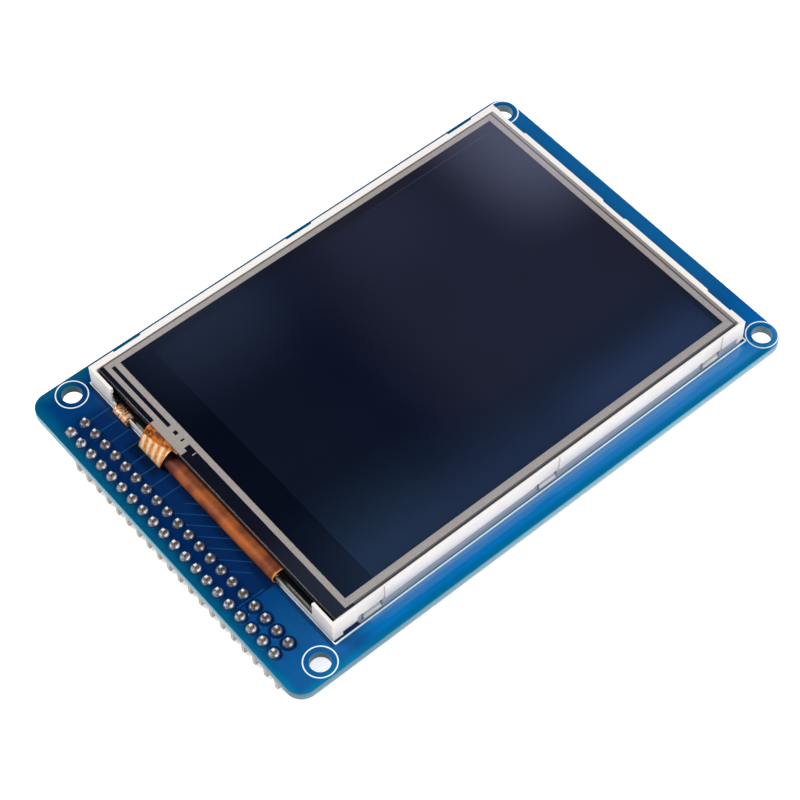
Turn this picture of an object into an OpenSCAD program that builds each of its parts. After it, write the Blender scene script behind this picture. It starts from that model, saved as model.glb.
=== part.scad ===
// Colour display module. A blue circuit board carries a framed touch display on
// its top, a two-row pin header under its near edge, and a card socket with a few
// chips on its back. The origin is the centre of the four mounting holes on the
// board's back face. +Y runs from the header to the far end and +Z leaves the screen.

/* [Board] */
// Width of the circuit board
board_w = 64.6; // [62:0.1:72]
// Length of the circuit board
board_l = 94.3; // [92:0.1:104]
// Thickness of the circuit board
board_t = 1.6; // [0.8:0.1:2.4]
// Radius of the board's corners
board_r = 2.7; // [0.5:0.1:4]
// Diameter of a mounting hole
hole_d = 3.2; // [2.2:0.1:3.6]
// Distance from a hole's centre to the side edge
hole_side = 2.8; // [2.2:0.1:4]
// Distance from the far holes' centres to the far edge
hole_far = 2.4; // [2.2:0.1:4]
// Distance from the near holes' centres to the near edge
hole_near = 6.1; // [2.4:0.1:7]

/* [Header] */
// Pins in each row
pin_columns = 20; // [2:1:22]
// Distance between neighbouring pins
pin_pitch = 2.54; // [2:0.01:2.7]
// Width of a square pin
pin_w = 0.64; // [0.4:0.02:0.7]
// Length of a pin below the plastic strip
pin_below = 6; // [3:0.1:12]
// Height of a pin's end above the board
pin_above = 1.35; // [0.7:0.05:1.8]
// Length of the taper at a pin's ends
pin_taper = 0.3; // [0.1:0.05:0.45]
// Room around a pin's corners in its board hole
pin_room = 0.05; // [0.02:0.01:0.15]
// Height of the plastic strip that holds the pins
strip_h = 2.54; // [1.5:0.01:8.5]
// Cut at the corners of each pair of pins in the strip
strip_cut = 0.4; // [0.1:0.05:0.6]
// Distance from the outer pin row to the board's near edge
header_edge = 2; // [1.5:0.1:3]
// Offset of the header to the right of the board's middle
header_shift = 0.25; // [-3:0.05:3]
// Diameter of a solder joint at its foot
joint_d = 1.7; // [1.3:0.05:1.9]
// Diameter of a solder joint at its top
joint_top_d = 1; // [0.95:0.05:1.2]
// Height of a solder joint
joint_h = 0.9; // [0.3:0.05:1.2]

/* [Screen frame] */
// Width of the screen's frame
frame_w = 57.2; // [50:0.1:62]
// Length of the screen's frame
frame_l = 79.55; // [70:0.05:82]
// Distance from the frame's near face to the board's near edge
frame_edge = 9.4; // [9:0.1:12]
// Offset of the frame to the right of the board's middle
frame_shift = -0.35; // [-2:0.05:2]
// Thickness of the frame's left rim
rim_left = 1.1; // [0.4:0.05:2]
// Thickness of the frame's right rim
rim_right = 0.4; // [0.3:0.05:2]
// Thickness of the frame's far rim
rim_far = 0.9; // [0.4:0.05:2]
// Thickness of the arms at the near side
near_wall = 0.5; // [0.35:0.05:0.6]
// Thickness of the low wall between the arms
low_wall = 0.25; // [0.15:0.05:0.3]
// Height of the low wall above the tray's floor
near_wall_h = 1.4; // [1.1:0.05:1.6]
// Length of the near right arm
arm_right = 4.5; // [2:0.1:8]
// Length of the near left arm
arm_left = 5.5; // [4:0.1:6]
// Height of the bar along the top of the near left arm's end
arm_bar = 1; // [0.6:0.1:1.6]
// Length of the hollow under that bar, behind the arm
arm_hollow = 1.9; // [1:0.1:2.4]
// Length of the groove along the front of that bar
arm_groove = 1.3; // [0.5:0.1:2]
// Width of the shelf under the touch panel
touch_shelf = 1; // [0.5:0.05:2]
// Width of the shelf under the display glass
glass_shelf = 1.2; // [0.5:0.05:2]
// Room around each sheet in its pocket
fit_gap = 0.1; // [0.05:0.01:0.2]
// Length of the recesses along the frame's outer edge
recess_l = 5; // [2:0.1:8]
// Depth of those recesses
recess_d = 0.25; // [0.1:0.05:0.28]
// Distance from the frame's ends to the outer side clips
clip_end = 7; // [6:0.1:12]
// Distance from the frame's sides to the outer far clips
clip_side = 5.5; // [5:0.1:12]
// Length of a clip on the frame
clip_l = 3.1; // [1:0.1:4.5]
// Height of a clip on the frame
clip_h = 0.5; // [0.3:0.05:0.6]
// How far a clip stands out of the tray's side
clip_out = 0.2; // [0.05:0.05:0.4]
// Length of the solid corners at the near side
corner_l = 1.8; // [1:0.1:3]
// Depth of the opening behind those corners
corner_cut = 0.8; // [0.3:0.1:1.2]

/* [Tray] */
// Thickness of the tape between tray and board
tape_t = 0.12; // [0.12:0.01:0.3]
// Width of a strip of that tape
tape_w = 9; // [4:0.5:11]
// Distance of the tape's ends from the frame's ends
tape_end = 9; // [4:0.5:20]
// Thickness of the tray's sheet
tray_t = 0.18; // [0.1:0.02:0.24]
// Inside radius of the tray's folds
fold_r = 0.1; // [0.06:0.02:0.2]
// Height of the tray's sides
tray_h = 1.4; // [1.2:0.05:1.6]
// Distance from the frame's near face to the sides of the tray
tray_near = 4.5; // [4:0.1:8]
// Distance from the tray's sides to the frame's far corners
tray_far = 1.3; // [0.6:0.1:4]

/* [Backlight] */
// Thickness of the reflector sheet
reflector_t = 0.1; // [0.05:0.01:0.2]
// Thickness of the light guide
guide_t = 0.85; // [0.7:0.05:1]
// Thickness of the diffuser sheet
diffuser_t = 0.1; // [0.05:0.01:0.15]
// Thickness of a prism sheet
prism_t = 0.12; // [0.05:0.01:0.2]
// Room for the light sources in front of the guide
led_room = 3; // [2:0.1:5]
// Number of light sources
led_count = 6; // [2:1:8]
// Length of a light source
led_l = 3.6; // [2:0.1:4]
// Depth of a light source
led_d = 1; // [0.5:0.1:1.4]
// Thickness of a flat cable
flex_t = 0.1; // [0.06:0.01:0.11]
// Width of the backlight's tail
led_tail_w = 3.3; // [2:0.1:5]
// Offset of the backlight's tail from the frame's middle
led_tail_shift = -20.6; // [-22:0.1:-19]
// Length of a cable's run under the tray
flex_under = 5; // [2:0.5:12]

/* [Display] */
// Thickness of one glass sheet
glass_t = 0.5; // [0.3:0.05:0.7]
// Thickness of a polarizer
polarizer_t = 0.15; // [0.1:0.01:0.2]
// Margin of the front polarizer inside the upper glass
polarizer_margin = 0.5; // [0.2:0.1:2]
// Depth of the ledge of the lower glass
ledge = 3.6; // [3:0.1:6]
// Length of the driver chip
driver_l = 18; // [8:0.5:24]
// Depth of the driver chip
driver_d = 0.9; // [0.6:0.1:1.2]
// Height of the driver chip
driver_h = 0.3; // [0.2:0.02:0.4]
// Width of the display's cable
flex_w = 25.8; // [10:0.1:27]
// Offset of the display's cable from the frame's middle
flex_shift = 3.15; // [3:0.05:9]
// Depth of the cable's bond on the ledge
flex_bond = 1.2; // [0.6:0.1:1.5]
// How far the bent cable stands out of the frame
flex_out = 0.72; // [0.6:0.02:1.1]

/* [Touch panel] */
// Thickness of the adhesive frame under the touch panel
gasket_t = 0.3; // [0.1:0.05:0.5]
// Width of the adhesive frame
gasket_w = 1.6; // [1.2:0.1:3]
// Thickness of the touch panel's glass
touch_t = 1.1; // [0.7:0.05:1.5]
// Thickness of the adhesive ring between glass and film
ring_t = 0.12; // [0.11:0.01:0.2]
// Thickness of the silver print
silver_t = 0.03; // [0.02:0.01:0.05]
// Thickness of the touch film
film_t = 0.17; // [0.1:0.01:0.25]
// Distance from the touch panel to the frame's near face
touch_near = 1; // [0.8:0.05:2]
// Width of a silver line
silver_w = 0.95; // [0.5:0.05:1.5]
// Margin between the silver print and the panel's left edge
silver_left = 0.1; // [0.05:0.05:0.6]
// Margin at the panel's right edge
silver_right = 0.55; // [0.05:0.05:1]
// Margin at the panel's far edge
silver_far = 0.55; // [0.05:0.05:1]
// Margin at the panel's near edge
silver_near = 2.2; // [2:0.05:3]
// Width of the silver contact block
pad_w = 7.4; // [5.5:0.1:8]
// Offset of the contact block from the panel's middle
pad_shift = -11.35; // [-14:0.05:-10]
// Width of the touch panel's tail
tail_w = 4.9; // [3:0.1:5]
// Offset of the tail from the panel's middle
tail_shift = -12.85; // [-13.6:0.05:-12.6]
// Depth of the tail between glass and film
tail_bond = 1.4; // [0.6:0.1:1.8]
// Radius of the tail's upper bend
tail_bend = 2; // [1.8:0.1:2.4]
// Radius of the tail's lower bend
tail_turn = 0.6; // [0.4:0.05:0.8]

/* [Card socket] */
// Width of the socket's shell
socket_w = 27; // [26.5:0.1:32]
// Length of the socket
socket_l = 26.5; // [16:0.5:32]
// Height of the socket
socket_h = 2.9; // [2.8:0.05:4]
// Distance from the socket's mouth to the board's far edge
socket_far = 0.5; // [0:0.1:4]
// Width of the card slot
slot_w = 24.3; // [20:0.1:25]
// Height of the card slot
slot_h = 2.2; // [1.5:0.05:2.3]
// Thickness of the shell's sheet
shell_t = 0.25; // [0.15:0.05:0.3]
// Depth of the block behind the slot
block_l = 3; // [2:0.1:5]
// Number of contacts
contact_count = 9; // [4:1:10]
// Distance between neighbouring contacts
contact_pitch = 2.4; // [1.5:0.1:2.4]
// Width of a contact
contact_w = 0.9; // [0.5:0.05:1.2]
// Thickness of a contact
contact_t = 0.15; // [0.1:0.01:0.2]
// Reach of a contact into the slot
contact_reach = 7; // [4:0.1:10]
// Length of a contact's foot behind the socket
contact_foot = 1.2; // [0.8:0.1:2]

/* [Chips] */
// Length of the touch chip
chip_l = 5; // [4.8:0.1:7]
// Width of the touch chip
chip_w = 4.4; // [3:0.1:6]
// Height of the touch chip
chip_h = 1; // [0.6:0.05:1.5]
// Leads on each side of the touch chip
chip_leads = 8; // [2:1:8]
// Distance between those leads
chip_pitch = 0.65; // [0.5:0.01:0.66]
// Offset of the touch chip from the board's middle
chip_x = -14; // [-20:0.5:-8]
// Distance from the touch chip to the board's near edge
chip_edge = 24; // [18:0.5:34]
// Length of the regulator
regulator_l = 6.5; // [6:0.1:8]
// Width of the regulator
regulator_w = 3.5; // [2.5:0.1:5]
// Height of the regulator
regulator_h = 1.6; // [1.2:0.1:2.2]
// Offset of the regulator from the board's middle
regulator_x = 14; // [8:0.5:20]
// Distance from the regulator to the board's near edge
regulator_edge = 25; // [18:0.5:34]
// Gap between a chip's body and the board
chip_gap = 0.1; // [0.05:0.05:0.2]
// Thickness of a lead
lead_t = 0.15; // [0.1:0.01:0.25]
// Reach of a lead beyond its body
lead_reach = 1; // [0.7:0.05:1.5]
// Length of a capacitor
capacitor_l = 2; // [1:0.1:2.4]
// Width of a capacitor
capacitor_w = 1.25; // [0.5:0.05:1.6]
// Height of a capacitor
capacitor_h = 0.9; // [0.4:0.05:1.4]
// Length of a resistor
resistor_l = 1.6; // [1:0.1:2]
// Width of a resistor
resistor_w = 0.8; // [0.5:0.05:1.2]
// Height of a resistor
resistor_h = 0.45; // [0.3:0.05:0.6]
// Resistors in the row behind the header
resistor_count = 9; // [1:1:14]
// Distance between neighbouring resistors
resistor_pitch = 2.6; // [2.2:0.1:3]
// Distance from the resistor row to the board's near edge
resistor_edge = 12; // [9.5:0.5:14]

/* [Hidden] */
$fn = 48;
EPS = 0.01;

// Board edges and hole places, from the centre of the hole pattern
hole_dx = board_w - 2 * hole_side;
hole_dy = board_l - hole_near - hole_far;
board_x = board_w / 2;
board_near = -hole_dy / 2 - hole_near;
board_far = hole_dy / 2 + hole_far;

// Header places
row_y = board_near + header_edge;
first_pin_x = header_shift - (pin_columns - 1) / 2 * pin_pitch;
pin_hole_d = pin_w * sqrt(2) + 2 * pin_room;

// Outer faces of the screen's frame
frame_x0 = frame_shift - frame_w / 2;
frame_x1 = frame_shift + frame_w / 2;
frame_y0 = board_near + frame_edge;
frame_y1 = frame_y0 + frame_l;
frame_mid_y = (frame_y0 + frame_y1) / 2;

// Heights of the layers, from the board upwards
tray_z = board_t + tape_t;
floor_z = tray_z + tray_t;
guide_z = floor_z + reflector_t;
diffuser_z = guide_z + guide_t;
prism_z = diffuser_z + diffuser_t;
rear_z = prism_z + 2 * prism_t;
array_z = rear_z + polarizer_t;
filter_z = array_z + glass_t;
front_z = filter_z + glass_t;
gasket_z = front_z + polarizer_t;
touch_z = gasket_z + gasket_t;
ring_z = touch_z + touch_t;
silver_z = ring_z + ring_t;
silver_right_w = silver_w * 1.24;
film_z = silver_z + silver_t;
top_z = film_z + film_t;
tray_top_z = tray_z + tray_h;
wall_top_z = floor_z + near_wall_h;

// Pockets of the frame, each inside the one above it: touch panel, glass, light guide
touch_x0 = frame_x0 + rim_left + fit_gap;
touch_x1 = frame_x1 - rim_right - fit_gap;
touch_y0 = frame_y0 + touch_near;
touch_y1 = frame_y1 - rim_far - fit_gap;
touch_mid_x = (touch_x0 + touch_x1) / 2;
glass_x0 = touch_x0 + touch_shelf;
glass_x1 = touch_x1 - touch_shelf;
glass_y0 = frame_y0 + near_wall + fit_gap;
glass_y1 = touch_y1 - touch_shelf;
guide_x0 = glass_x0 + glass_shelf;
guide_x1 = glass_x1 - glass_shelf;
guide_y0 = frame_y0 + near_wall + led_room;
guide_y1 = glass_y1 - glass_shelf;

// Clip places along the frame's sides and its far edge
side_clips = [frame_y0 + clip_end, frame_mid_y, frame_y1 - clip_end];
far_clips = [frame_x0 + clip_side, frame_shift, frame_x1 - clip_side];
fold = tray_t + fold_r;
clip_z = tray_z + fold + fit_gap;
corner_top_z = clip_z + clip_h;

// Card socket places, measured down from the board's back
slot_floor = socket_h - shell_t - slot_h;
socket_y = board_far - socket_far - socket_l;

// Box between two corners
module block(low, high) {
    translate(low) cube(high - low);
}

// Flat sheet between two corners in plan, lying at height z
module sheet(x0, x1, y0, y1, z, t) {
    block([x0, y0, z], [x1, y1, z + t]);
}

// Rectangle with round corners, centred on x, from y0 to y1
module rounded_plate(w, y0, y1, r) {
    translate([-w / 2 + r, y0]) square([w - 2 * r, y1 - y0]);
    translate([-w / 2, y0 + r]) square([w, y1 - y0 - 2 * r]);
    for (x = [-w / 2 + r, w / 2 - r])
        for (y = [y0 + r, y1 - r])
            translate([x, y]) circle(r);
}

// Extrude a profile drawn in the Y and Z directions along X, from x0 over a width w
module across(x0, w) {
    translate([x0, 0, 0]) rotate([90, 0, 90]) linear_extrude(w) children();
}

// Repeat for every pin of the header
module each_pin() {
    for (i = [0 : pin_columns - 1])
        for (j = [0, 1])
            translate([first_pin_x + i * pin_pitch, row_y + j * pin_pitch, 0]) children();
}

// Parts on the back are drawn upwards from the board's back face and turned over
module on_back(x, y) {
    translate([x, y, 0]) mirror([0, 0, 1]) children();
}

module circuit_board() {
    color("#0a4d96") difference() {
        linear_extrude(board_t) rounded_plate(board_w, board_near, board_far, board_r);
        for (x = [-hole_dx / 2, hole_dx / 2])
            for (y = [-hole_dy / 2, hole_dy / 2])
                translate([x, y, -EPS]) cylinder(d = hole_d, h = board_t + 2 * EPS);
        each_pin() translate([0, 0, -EPS]) cylinder(d = pin_hole_d, h = board_t + 2 * EPS);
    }
}

// Outline of one pair of pins in the header's strip, with its corners cut
module strip_cell() {
    half = pin_pitch / 2;
    long = pin_pitch;
    cut = strip_cut;
    polygon([[-half + cut, -long], [half - cut, -long], [half, cut - long], [half, long - cut],
        [half - cut, long], [-half + cut, long], [-half, long - cut], [-half, cut - long]]);
}

module header_base() {
    color("#1b1c1f") difference() {
        for (i = [0 : pin_columns - 1])
            translate([first_pin_x + i * pin_pitch, row_y + pin_pitch / 2, -strip_h])
                linear_extrude(strip_h) strip_cell();
        each_pin() translate([-pin_w / 2, -pin_w / 2, -strip_h - EPS])
            cube([pin_w, pin_w, strip_h + 2 * EPS]);
    }
}

// Side view of a pin, tapered at both ends
module pin_profile() {
    low = -strip_h - pin_below;
    high = board_t + pin_above;
    half = pin_w / 2;
    tip = half / 2;
    polygon([[-tip, low], [tip, low], [half, low + pin_taper], [half, high - pin_taper], [tip, high],
        [-tip, high], [-half, high - pin_taper], [-half, low + pin_taper]]);
}

module header_pins() {
    color("#c9b36a") each_pin() intersection() {
        across(-pin_w, 2 * pin_w) pin_profile();
        rotate([0, 0, 90]) across(-pin_w, 2 * pin_w) pin_profile();
    }
}

// Half section of a solder joint: a wide foot, round shoulders and a flat top
module joint_profile() {
    foot = joint_d / 2;
    crown = joint_top_d / 2;
    polygon([[0, 0], [foot, 0], [foot, joint_h * 0.2], [foot * 0.9 + crown * 0.1, joint_h * 0.55],
        [foot * 0.6 + crown * 0.4, joint_h * 0.85], [crown, joint_h], [0, joint_h]]);
}

module solder_joints() {
    color("#b9bcc0") each_pin() difference() {
        translate([0, 0, board_t]) rotate_extrude($fn = 24) joint_profile();
        intersection() {
            across(-pin_w, 2 * pin_w) pin_profile();
            rotate([0, 0, 90]) across(-pin_w, 2 * pin_w) pin_profile();
        }
    }
}

module tape_strips() {
    inset = tape_w + fold;
    color("#d8d4c4") for (x = [frame_x0 + fold, frame_x1 - inset])
        sheet(x, x + tape_w, frame_y0 + tape_end, frame_y1 - tape_end, board_t, tape_t);
}

// Section of a folded side of the tray: a quarter bend and an upright wall
module folded_side() {
    intersection() {
        translate([fold, fold]) difference() {
            circle(fold);
            circle(fold_r);
        }
        square(fold);
    }
    translate([0, fold]) square([tray_t, tray_h - fold]);
}

// Openings in the tray's sides for the frame's clips
module clip_slots(grow) {
    low = clip_z - grow;
    high = clip_z + clip_h + grow;
    half = clip_l / 2 + grow;
    for (y = side_clips) {
        block([frame_x0 - EPS, y - half, low], [frame_x0 + tray_t + EPS, y + half, high]);
        block([frame_x1 - tray_t - EPS, y - half, low], [frame_x1 + EPS, y + half, high]);
    }
    for (x = far_clips)
        block([x - half, frame_y1 - tray_t - EPS, low], [x + half, frame_y1 + EPS, high]);
}

module backlight_tray() {
    side_l = frame_l - tray_near - tray_far;
    far_l = frame_w - 2 * tray_far;
    color("#a9adb2") difference() {
        union() {
            sheet(frame_x0 + fold, frame_x1 - fold, glass_y0, frame_y1 - fold, tray_z, tray_t);
            translate([frame_x0, frame_y1 - tray_far, tray_z])
                rotate([90, 0, 0]) linear_extrude(side_l) folded_side();
            translate([frame_x1, frame_y1 - tray_far, tray_z])
                rotate([90, 0, 0]) linear_extrude(side_l) mirror([1, 0]) folded_side();
            translate([frame_x0 + tray_far, frame_y1, tray_z])
                rotate([90, 0, 90]) linear_extrude(far_l) mirror([1, 0]) folded_side();
        }
        clip_slots(fit_gap / 2);
    }
}

module reflector_sheet() {
    color("#f4f4f0") sheet(guide_x0, guide_x1, glass_y0, guide_y1, floor_z, reflector_t);
}

module light_guide() {
    color("#e8f0f2") sheet(guide_x0, guide_x1, guide_y0, guide_y1, guide_z, guide_t);
}

module diffuser_sheet() {
    color("#f2f2ee") sheet(guide_x0, guide_x1, guide_y0, guide_y1, diffuser_z, diffuser_t);
}

module lower_prism_sheet() {
    color("#e2e6e8") sheet(guide_x0, guide_x1, guide_y0, guide_y1, prism_z, prism_t);
}

module upper_prism_sheet() {
    color("#dde2e6") sheet(guide_x0, guide_x1, guide_y0, guide_y1, prism_z + prism_t, prism_t);
}

// Section of a cable bent back under the screen: a half turn about [y, (low + high) / 2]
// from a run at the height high, reaching to y_in, to a run on the board
module bent_cable(y, y_in, high, y_under) {
    low = board_t;
    outer = (high - low) / 2;
    translate([y, high - flex_t]) square([y_in - y, flex_t]);
    translate([y, low]) square([y_under - y, flex_t]);
    intersection() {
        translate([y, low + outer]) difference() {
            circle(outer);
            circle(outer - flex_t);
        }
        translate([y - outer, low]) square([outer, 2 * outer]);
    }
}

module led_strip() {
    strip_y = glass_y0 + fit_gap;
    color("#d98a3a") {
        sheet(guide_x0, guide_x1, strip_y, guide_y0 - fit_gap, diffuser_z, flex_t);
        across(frame_shift + led_tail_shift - led_tail_w / 2, led_tail_w)
            bent_cable(frame_y0, strip_y + fit_gap, diffuser_z + flex_t, frame_y0 + flex_under);
    }
}

module backlight_leds() {
    step = (guide_x1 - guide_x0) / led_count;
    color("#f6e9a8") for (i = [0 : led_count - 1])
        sheet(guide_x0 + (i + 0.5) * step - led_l / 2, guide_x0 + (i + 0.5) * step + led_l / 2,
            guide_y0 - fit_gap - led_d, guide_y0 - fit_gap, guide_z, guide_t);
}

// Cuts in the near left arm: a hollow behind its thin end and a groove along its front
module arm_cuts() {
    tip_x = frame_x0 + arm_left + EPS;
    groove_z = top_z - near_wall * 0.46;
    block([tip_x - arm_hollow, frame_y0 + low_wall, wall_top_z],
        [tip_x, frame_y0 + near_wall + EPS, top_z - arm_bar]);
    block([tip_x - arm_groove, frame_y0 - EPS, groove_z - near_wall * 0.32],
        [tip_x, frame_y0 + near_wall * 0.4, groove_z]);
}

// Cuts that let the tray's sides sit flush in the frame
module tray_rebates() {
    low = floor_z - EPS;
    bend_z = tray_z + fold;
    for (step = [[fold, bend_z], [tray_t, tray_top_z]]) {
        block([frame_x0 - EPS, frame_y0 + tray_near, low],
            [frame_x0 + step[0], frame_y1 - tray_far, step[1]]);
        block([frame_x1 - step[0], frame_y0 + tray_near, low],
            [frame_x1 + EPS, frame_y1 - tray_far, step[1]]);
        block([frame_x0 + tray_far, frame_y1 - step[0], low],
            [frame_x1 - tray_far, frame_y1 + EPS, step[1]]);
    }
}

// Shallow recesses above the clips
module clip_recesses() {
    half = recess_l / 2;
    for (y = side_clips) {
        block([frame_x0 - EPS, y - half, tray_top_z], [frame_x0 + recess_d, y + half, top_z + EPS]);
        block([frame_x1 - recess_d, y - half, tray_top_z], [frame_x1 + EPS, y + half, top_z + EPS]);
    }
    for (x = far_clips)
        block([x - half, frame_y1 - recess_d, tray_top_z], [x + half, frame_y1 + EPS, top_z + EPS]);
}

// Stepped opening of the frame for the backlight, the glass and the touch panel
module frame_pockets() {
    inner_y = frame_y0 + near_wall;
    wall_y = frame_y0 + low_wall;
    block([frame_x0 + arm_left, wall_y, floor_z - EPS], [frame_x1 - arm_right, inner_y + EPS, top_z]);
    block([guide_x0 - fit_gap, inner_y, floor_z - EPS], [guide_x1 + fit_gap, guide_y1 + fit_gap, top_z]);
    block([glass_x0 - fit_gap, inner_y, array_z], [glass_x1 + fit_gap, glass_y1 + fit_gap, top_z + EPS]);
    block([touch_x0 - fit_gap, inner_y, gasket_z], [touch_x1 + fit_gap, touch_y1 + fit_gap, top_z + EPS]);
    block([frame_x0 + arm_left, frame_y0 - EPS, wall_top_z],
        [frame_x1 - arm_right, inner_y + EPS, top_z + EPS]);
}

module mould_frame() {
    tail_x = frame_shift + led_tail_shift;
    tail_half = led_tail_w / 2 + fit_gap;
    color("#f1efec") {
        difference() {
            block([frame_x0, frame_y0, floor_z], [frame_x1, frame_y1, top_z]);
            frame_pockets();
            tray_rebates();
            clip_recesses();
            arm_cuts();
            block([tail_x - tail_half, frame_y0 - EPS, diffuser_z],
                [tail_x + tail_half, frame_y0 + near_wall + EPS, wall_top_z + EPS]);
            for (x = [frame_x0, frame_x1 - corner_cut])
                block([x - EPS, frame_y0 + corner_l, floor_z - EPS],
                    [x + corner_cut + EPS, frame_y0 + tray_near + EPS, corner_top_z]);
        }
        clips();
        corner_feet();
    }
}

// Clips on the frame that catch in the tray's slots
module clips() {
    low = clip_z;
    high = clip_z + clip_h;
    half = clip_l / 2;
    out = clip_out;
    for (y = side_clips) {
        block([frame_x0 - out, y - half, low], [frame_x0 + tray_t, y + half, high]);
        block([frame_x1 - tray_t, y - half, low], [frame_x1 + out, y + half, high]);
    }
    for (x = far_clips)
        block([x - half, frame_y1 - tray_t, low], [x + half, frame_y1 + out, high]);
}

// Feet of the frame's corners, outside the tray's floor
module corner_feet() {
    foot = fold - fit_gap / 2;
    far_l = tray_far - fit_gap / 2;
    for (side = [[frame_x0, frame_x0 + foot], [frame_x1 - foot, frame_x1]]) {
        block([side[0], frame_y0, tray_z], [side[1], frame_y0 + corner_l, floor_z]);
        block([side[0], frame_y1 - far_l, tray_z], [side[1], frame_y1, floor_z]);
    }
    for (side = [[frame_x0, frame_x0 + far_l], [frame_x1 - far_l, frame_x1]])
        block([side[0], frame_y1 - foot, tray_z], [side[1], frame_y1, floor_z]);
    block([frame_x1 - arm_right, frame_y0, tray_z], [frame_x1, frame_y0 + low_wall, floor_z]);
    block([frame_x0, frame_y0, tray_z], [frame_x0 + arm_right, frame_y0 + low_wall, floor_z]);
}

module rear_polarizer() {
    color("#3a3f4a") sheet(guide_x0, guide_x1, guide_y0, guide_y1, rear_z, polarizer_t);
}

module array_glass() {
    color("#20242c") sheet(glass_x0, glass_x1, glass_y0, glass_y1, array_z, glass_t);
}

module filter_glass() {
    color("#1a2030") sheet(glass_x0, glass_x1, glass_y0 + ledge, glass_y1, filter_z, glass_t);
}

module front_polarizer() {
    m = polarizer_margin;
    color("#161c2c") sheet(glass_x0 + m, glass_x1 - m, glass_y0 + ledge + m, glass_y1 - m,
        front_z, polarizer_t);
}

module driver_chip() {
    y = glass_y0 + ledge - fit_gap - driver_d;
    mid_x = (glass_x0 + glass_x1) / 2;
    color("#2b2d33") sheet(mid_x - driver_l / 2, mid_x + driver_l / 2, y, y + driver_d, filter_z, driver_h);
}

module display_flex() {
    high = filter_z + flex_t;
    bend_y = frame_y0 - flex_out + (high - board_t) / 2;
    color("#9a4f22") across(frame_shift + flex_shift - flex_w / 2, flex_w)
        bent_cable(bend_y, glass_y0 + flex_bond, high, frame_y0 + flex_under);
}

// Flat ring along the touch panel's edge: widths at the left, right, near and far side
module panel_ring(left, right, near, far, z, t) {
    difference() {
        sheet(touch_x0, touch_x1, touch_y0, touch_y1, z, t);
        sheet(touch_x0 + left, touch_x1 - right, touch_y0 + near, touch_y1 - far, z - EPS, t + 2 * EPS);
    }
}

module touch_gasket() {
    color("#26282c") panel_ring(gasket_w, gasket_w, gasket_w, gasket_w, gasket_z, gasket_t);
}

module touch_glass() {
    color("#2a3240") sheet(touch_x0, touch_x1, touch_y0, touch_y1, touch_z, touch_t);
}

module touch_ring() {
    mid_x = touch_mid_x + tail_shift;
    half = tail_w / 2 + fit_gap;
    color("#1d2026") difference() {
        panel_ring(silver_left + silver_w, silver_right + silver_right_w, silver_near + silver_w,
            silver_far + silver_w, ring_z, ring_t);
        sheet(mid_x - half, mid_x + half, touch_y0 - EPS, touch_y0 + tail_bond + fit_gap,
            ring_z - EPS, ring_t + 2 * EPS);
    }
}

// Silver bus lines round the panel and the contact block beside the tail
module silver_plan() {
    x0 = touch_x0 + silver_left;
    x1 = touch_x1 - silver_right;
    y0 = touch_y0 + silver_near;
    y1 = touch_y1 - silver_far;
    pad_x = touch_mid_x + pad_shift;
    pad_y = touch_y0 + silver_left;
    bar = pad_w * 0.15;
    slit = silver_w * 0.66;
    second_w = silver_w * 0.82;
    block_h = silver_near - slit - silver_left;
    second_y = y0 - slit - second_w;
    difference() {
        translate([x0, y0]) square([x1 - x0, y1 - y0]);
        translate([x0 + silver_w, y0 + silver_w])
            square([x1 - x0 - silver_w - silver_right_w, y1 - y0 - 2 * silver_w]);
    }
    translate([x0, second_y]) square([silver_w, y0 - second_y + EPS]);
    translate([x0, second_y]) square([pad_x - x0, second_w]);
    translate([pad_x - pad_w / 2, pad_y]) square([bar * 6, block_h]);
    translate([pad_x - pad_w / 2, pad_y]) square([pad_w, block_h * 0.74]);
    for (place = [2.05, 3.74, 5.04])
        translate([pad_x - pad_w / 2 + place * bar, pad_y]) square([bar, y0 - pad_y + EPS]);
    translate([pad_x + pad_w / 2 + bar * 0.9, y0 - bar * 0.75]) square([bar * 0.15, bar * 0.6]);
}

module silver_border() {
    color("#aaa49c") translate([0, 0, silver_z]) linear_extrude(silver_t) silver_plan();
}

module touch_film() {
    color("#222a3a") sheet(touch_x0, touch_x1, touch_y0, touch_y1, film_z, film_t);
}

// Section of the touch tail: out between glass and film, over a wide bend, down to the
// board and back under the tray
module tail_section() {
    lead = fit_gap / 2;
    high = ring_z + flex_t;
    mid_y = touch_y0 - lead;
    out_y = mid_y - tail_bend;
    mid_z = high - tail_bend;
    turn_z = board_t + tail_turn;
    translate([mid_y, ring_z]) square([tail_bond + lead, flex_t]);
    intersection() {
        translate([mid_y, mid_z]) difference() {
            circle(tail_bend);
            circle(tail_bend - flex_t);
        }
        translate([out_y, mid_z]) square(tail_bend);
    }
    translate([out_y, turn_z]) square([flex_t, mid_z - turn_z]);
    intersection() {
        translate([out_y + tail_turn, turn_z]) difference() {
            circle(tail_turn);
            circle(tail_turn - flex_t);
        }
        translate([out_y, board_t]) square(tail_turn);
    }
    translate([out_y + tail_turn, board_t]) square([frame_y0 + flex_under - out_y - tail_turn, flex_t]);
}

module touch_tail() {
    color("#e39a3c") across(touch_mid_x + tail_shift - tail_w / 2, tail_w) tail_section();
}

// Repeat for every contact of the card socket
module each_contact() {
    for (i = [0 : contact_count - 1])
        translate([(i - (contact_count - 1) / 2) * contact_pitch - contact_w / 2, 0, 0]) children();
}

module socket_base() {
    half = socket_w / 2 - shell_t;
    roof = socket_h - shell_t;
    color("#22242a") on_back(0, socket_y) difference() {
        block([-half, 0, 0], [half, socket_l, roof]);
        block([-slot_w / 2, block_l, slot_floor], [slot_w / 2, socket_l + EPS, roof + EPS]);
        each_contact() block([0, -EPS, slot_floor], [contact_w, block_l + EPS, slot_floor + contact_t]);
    }
}

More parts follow.
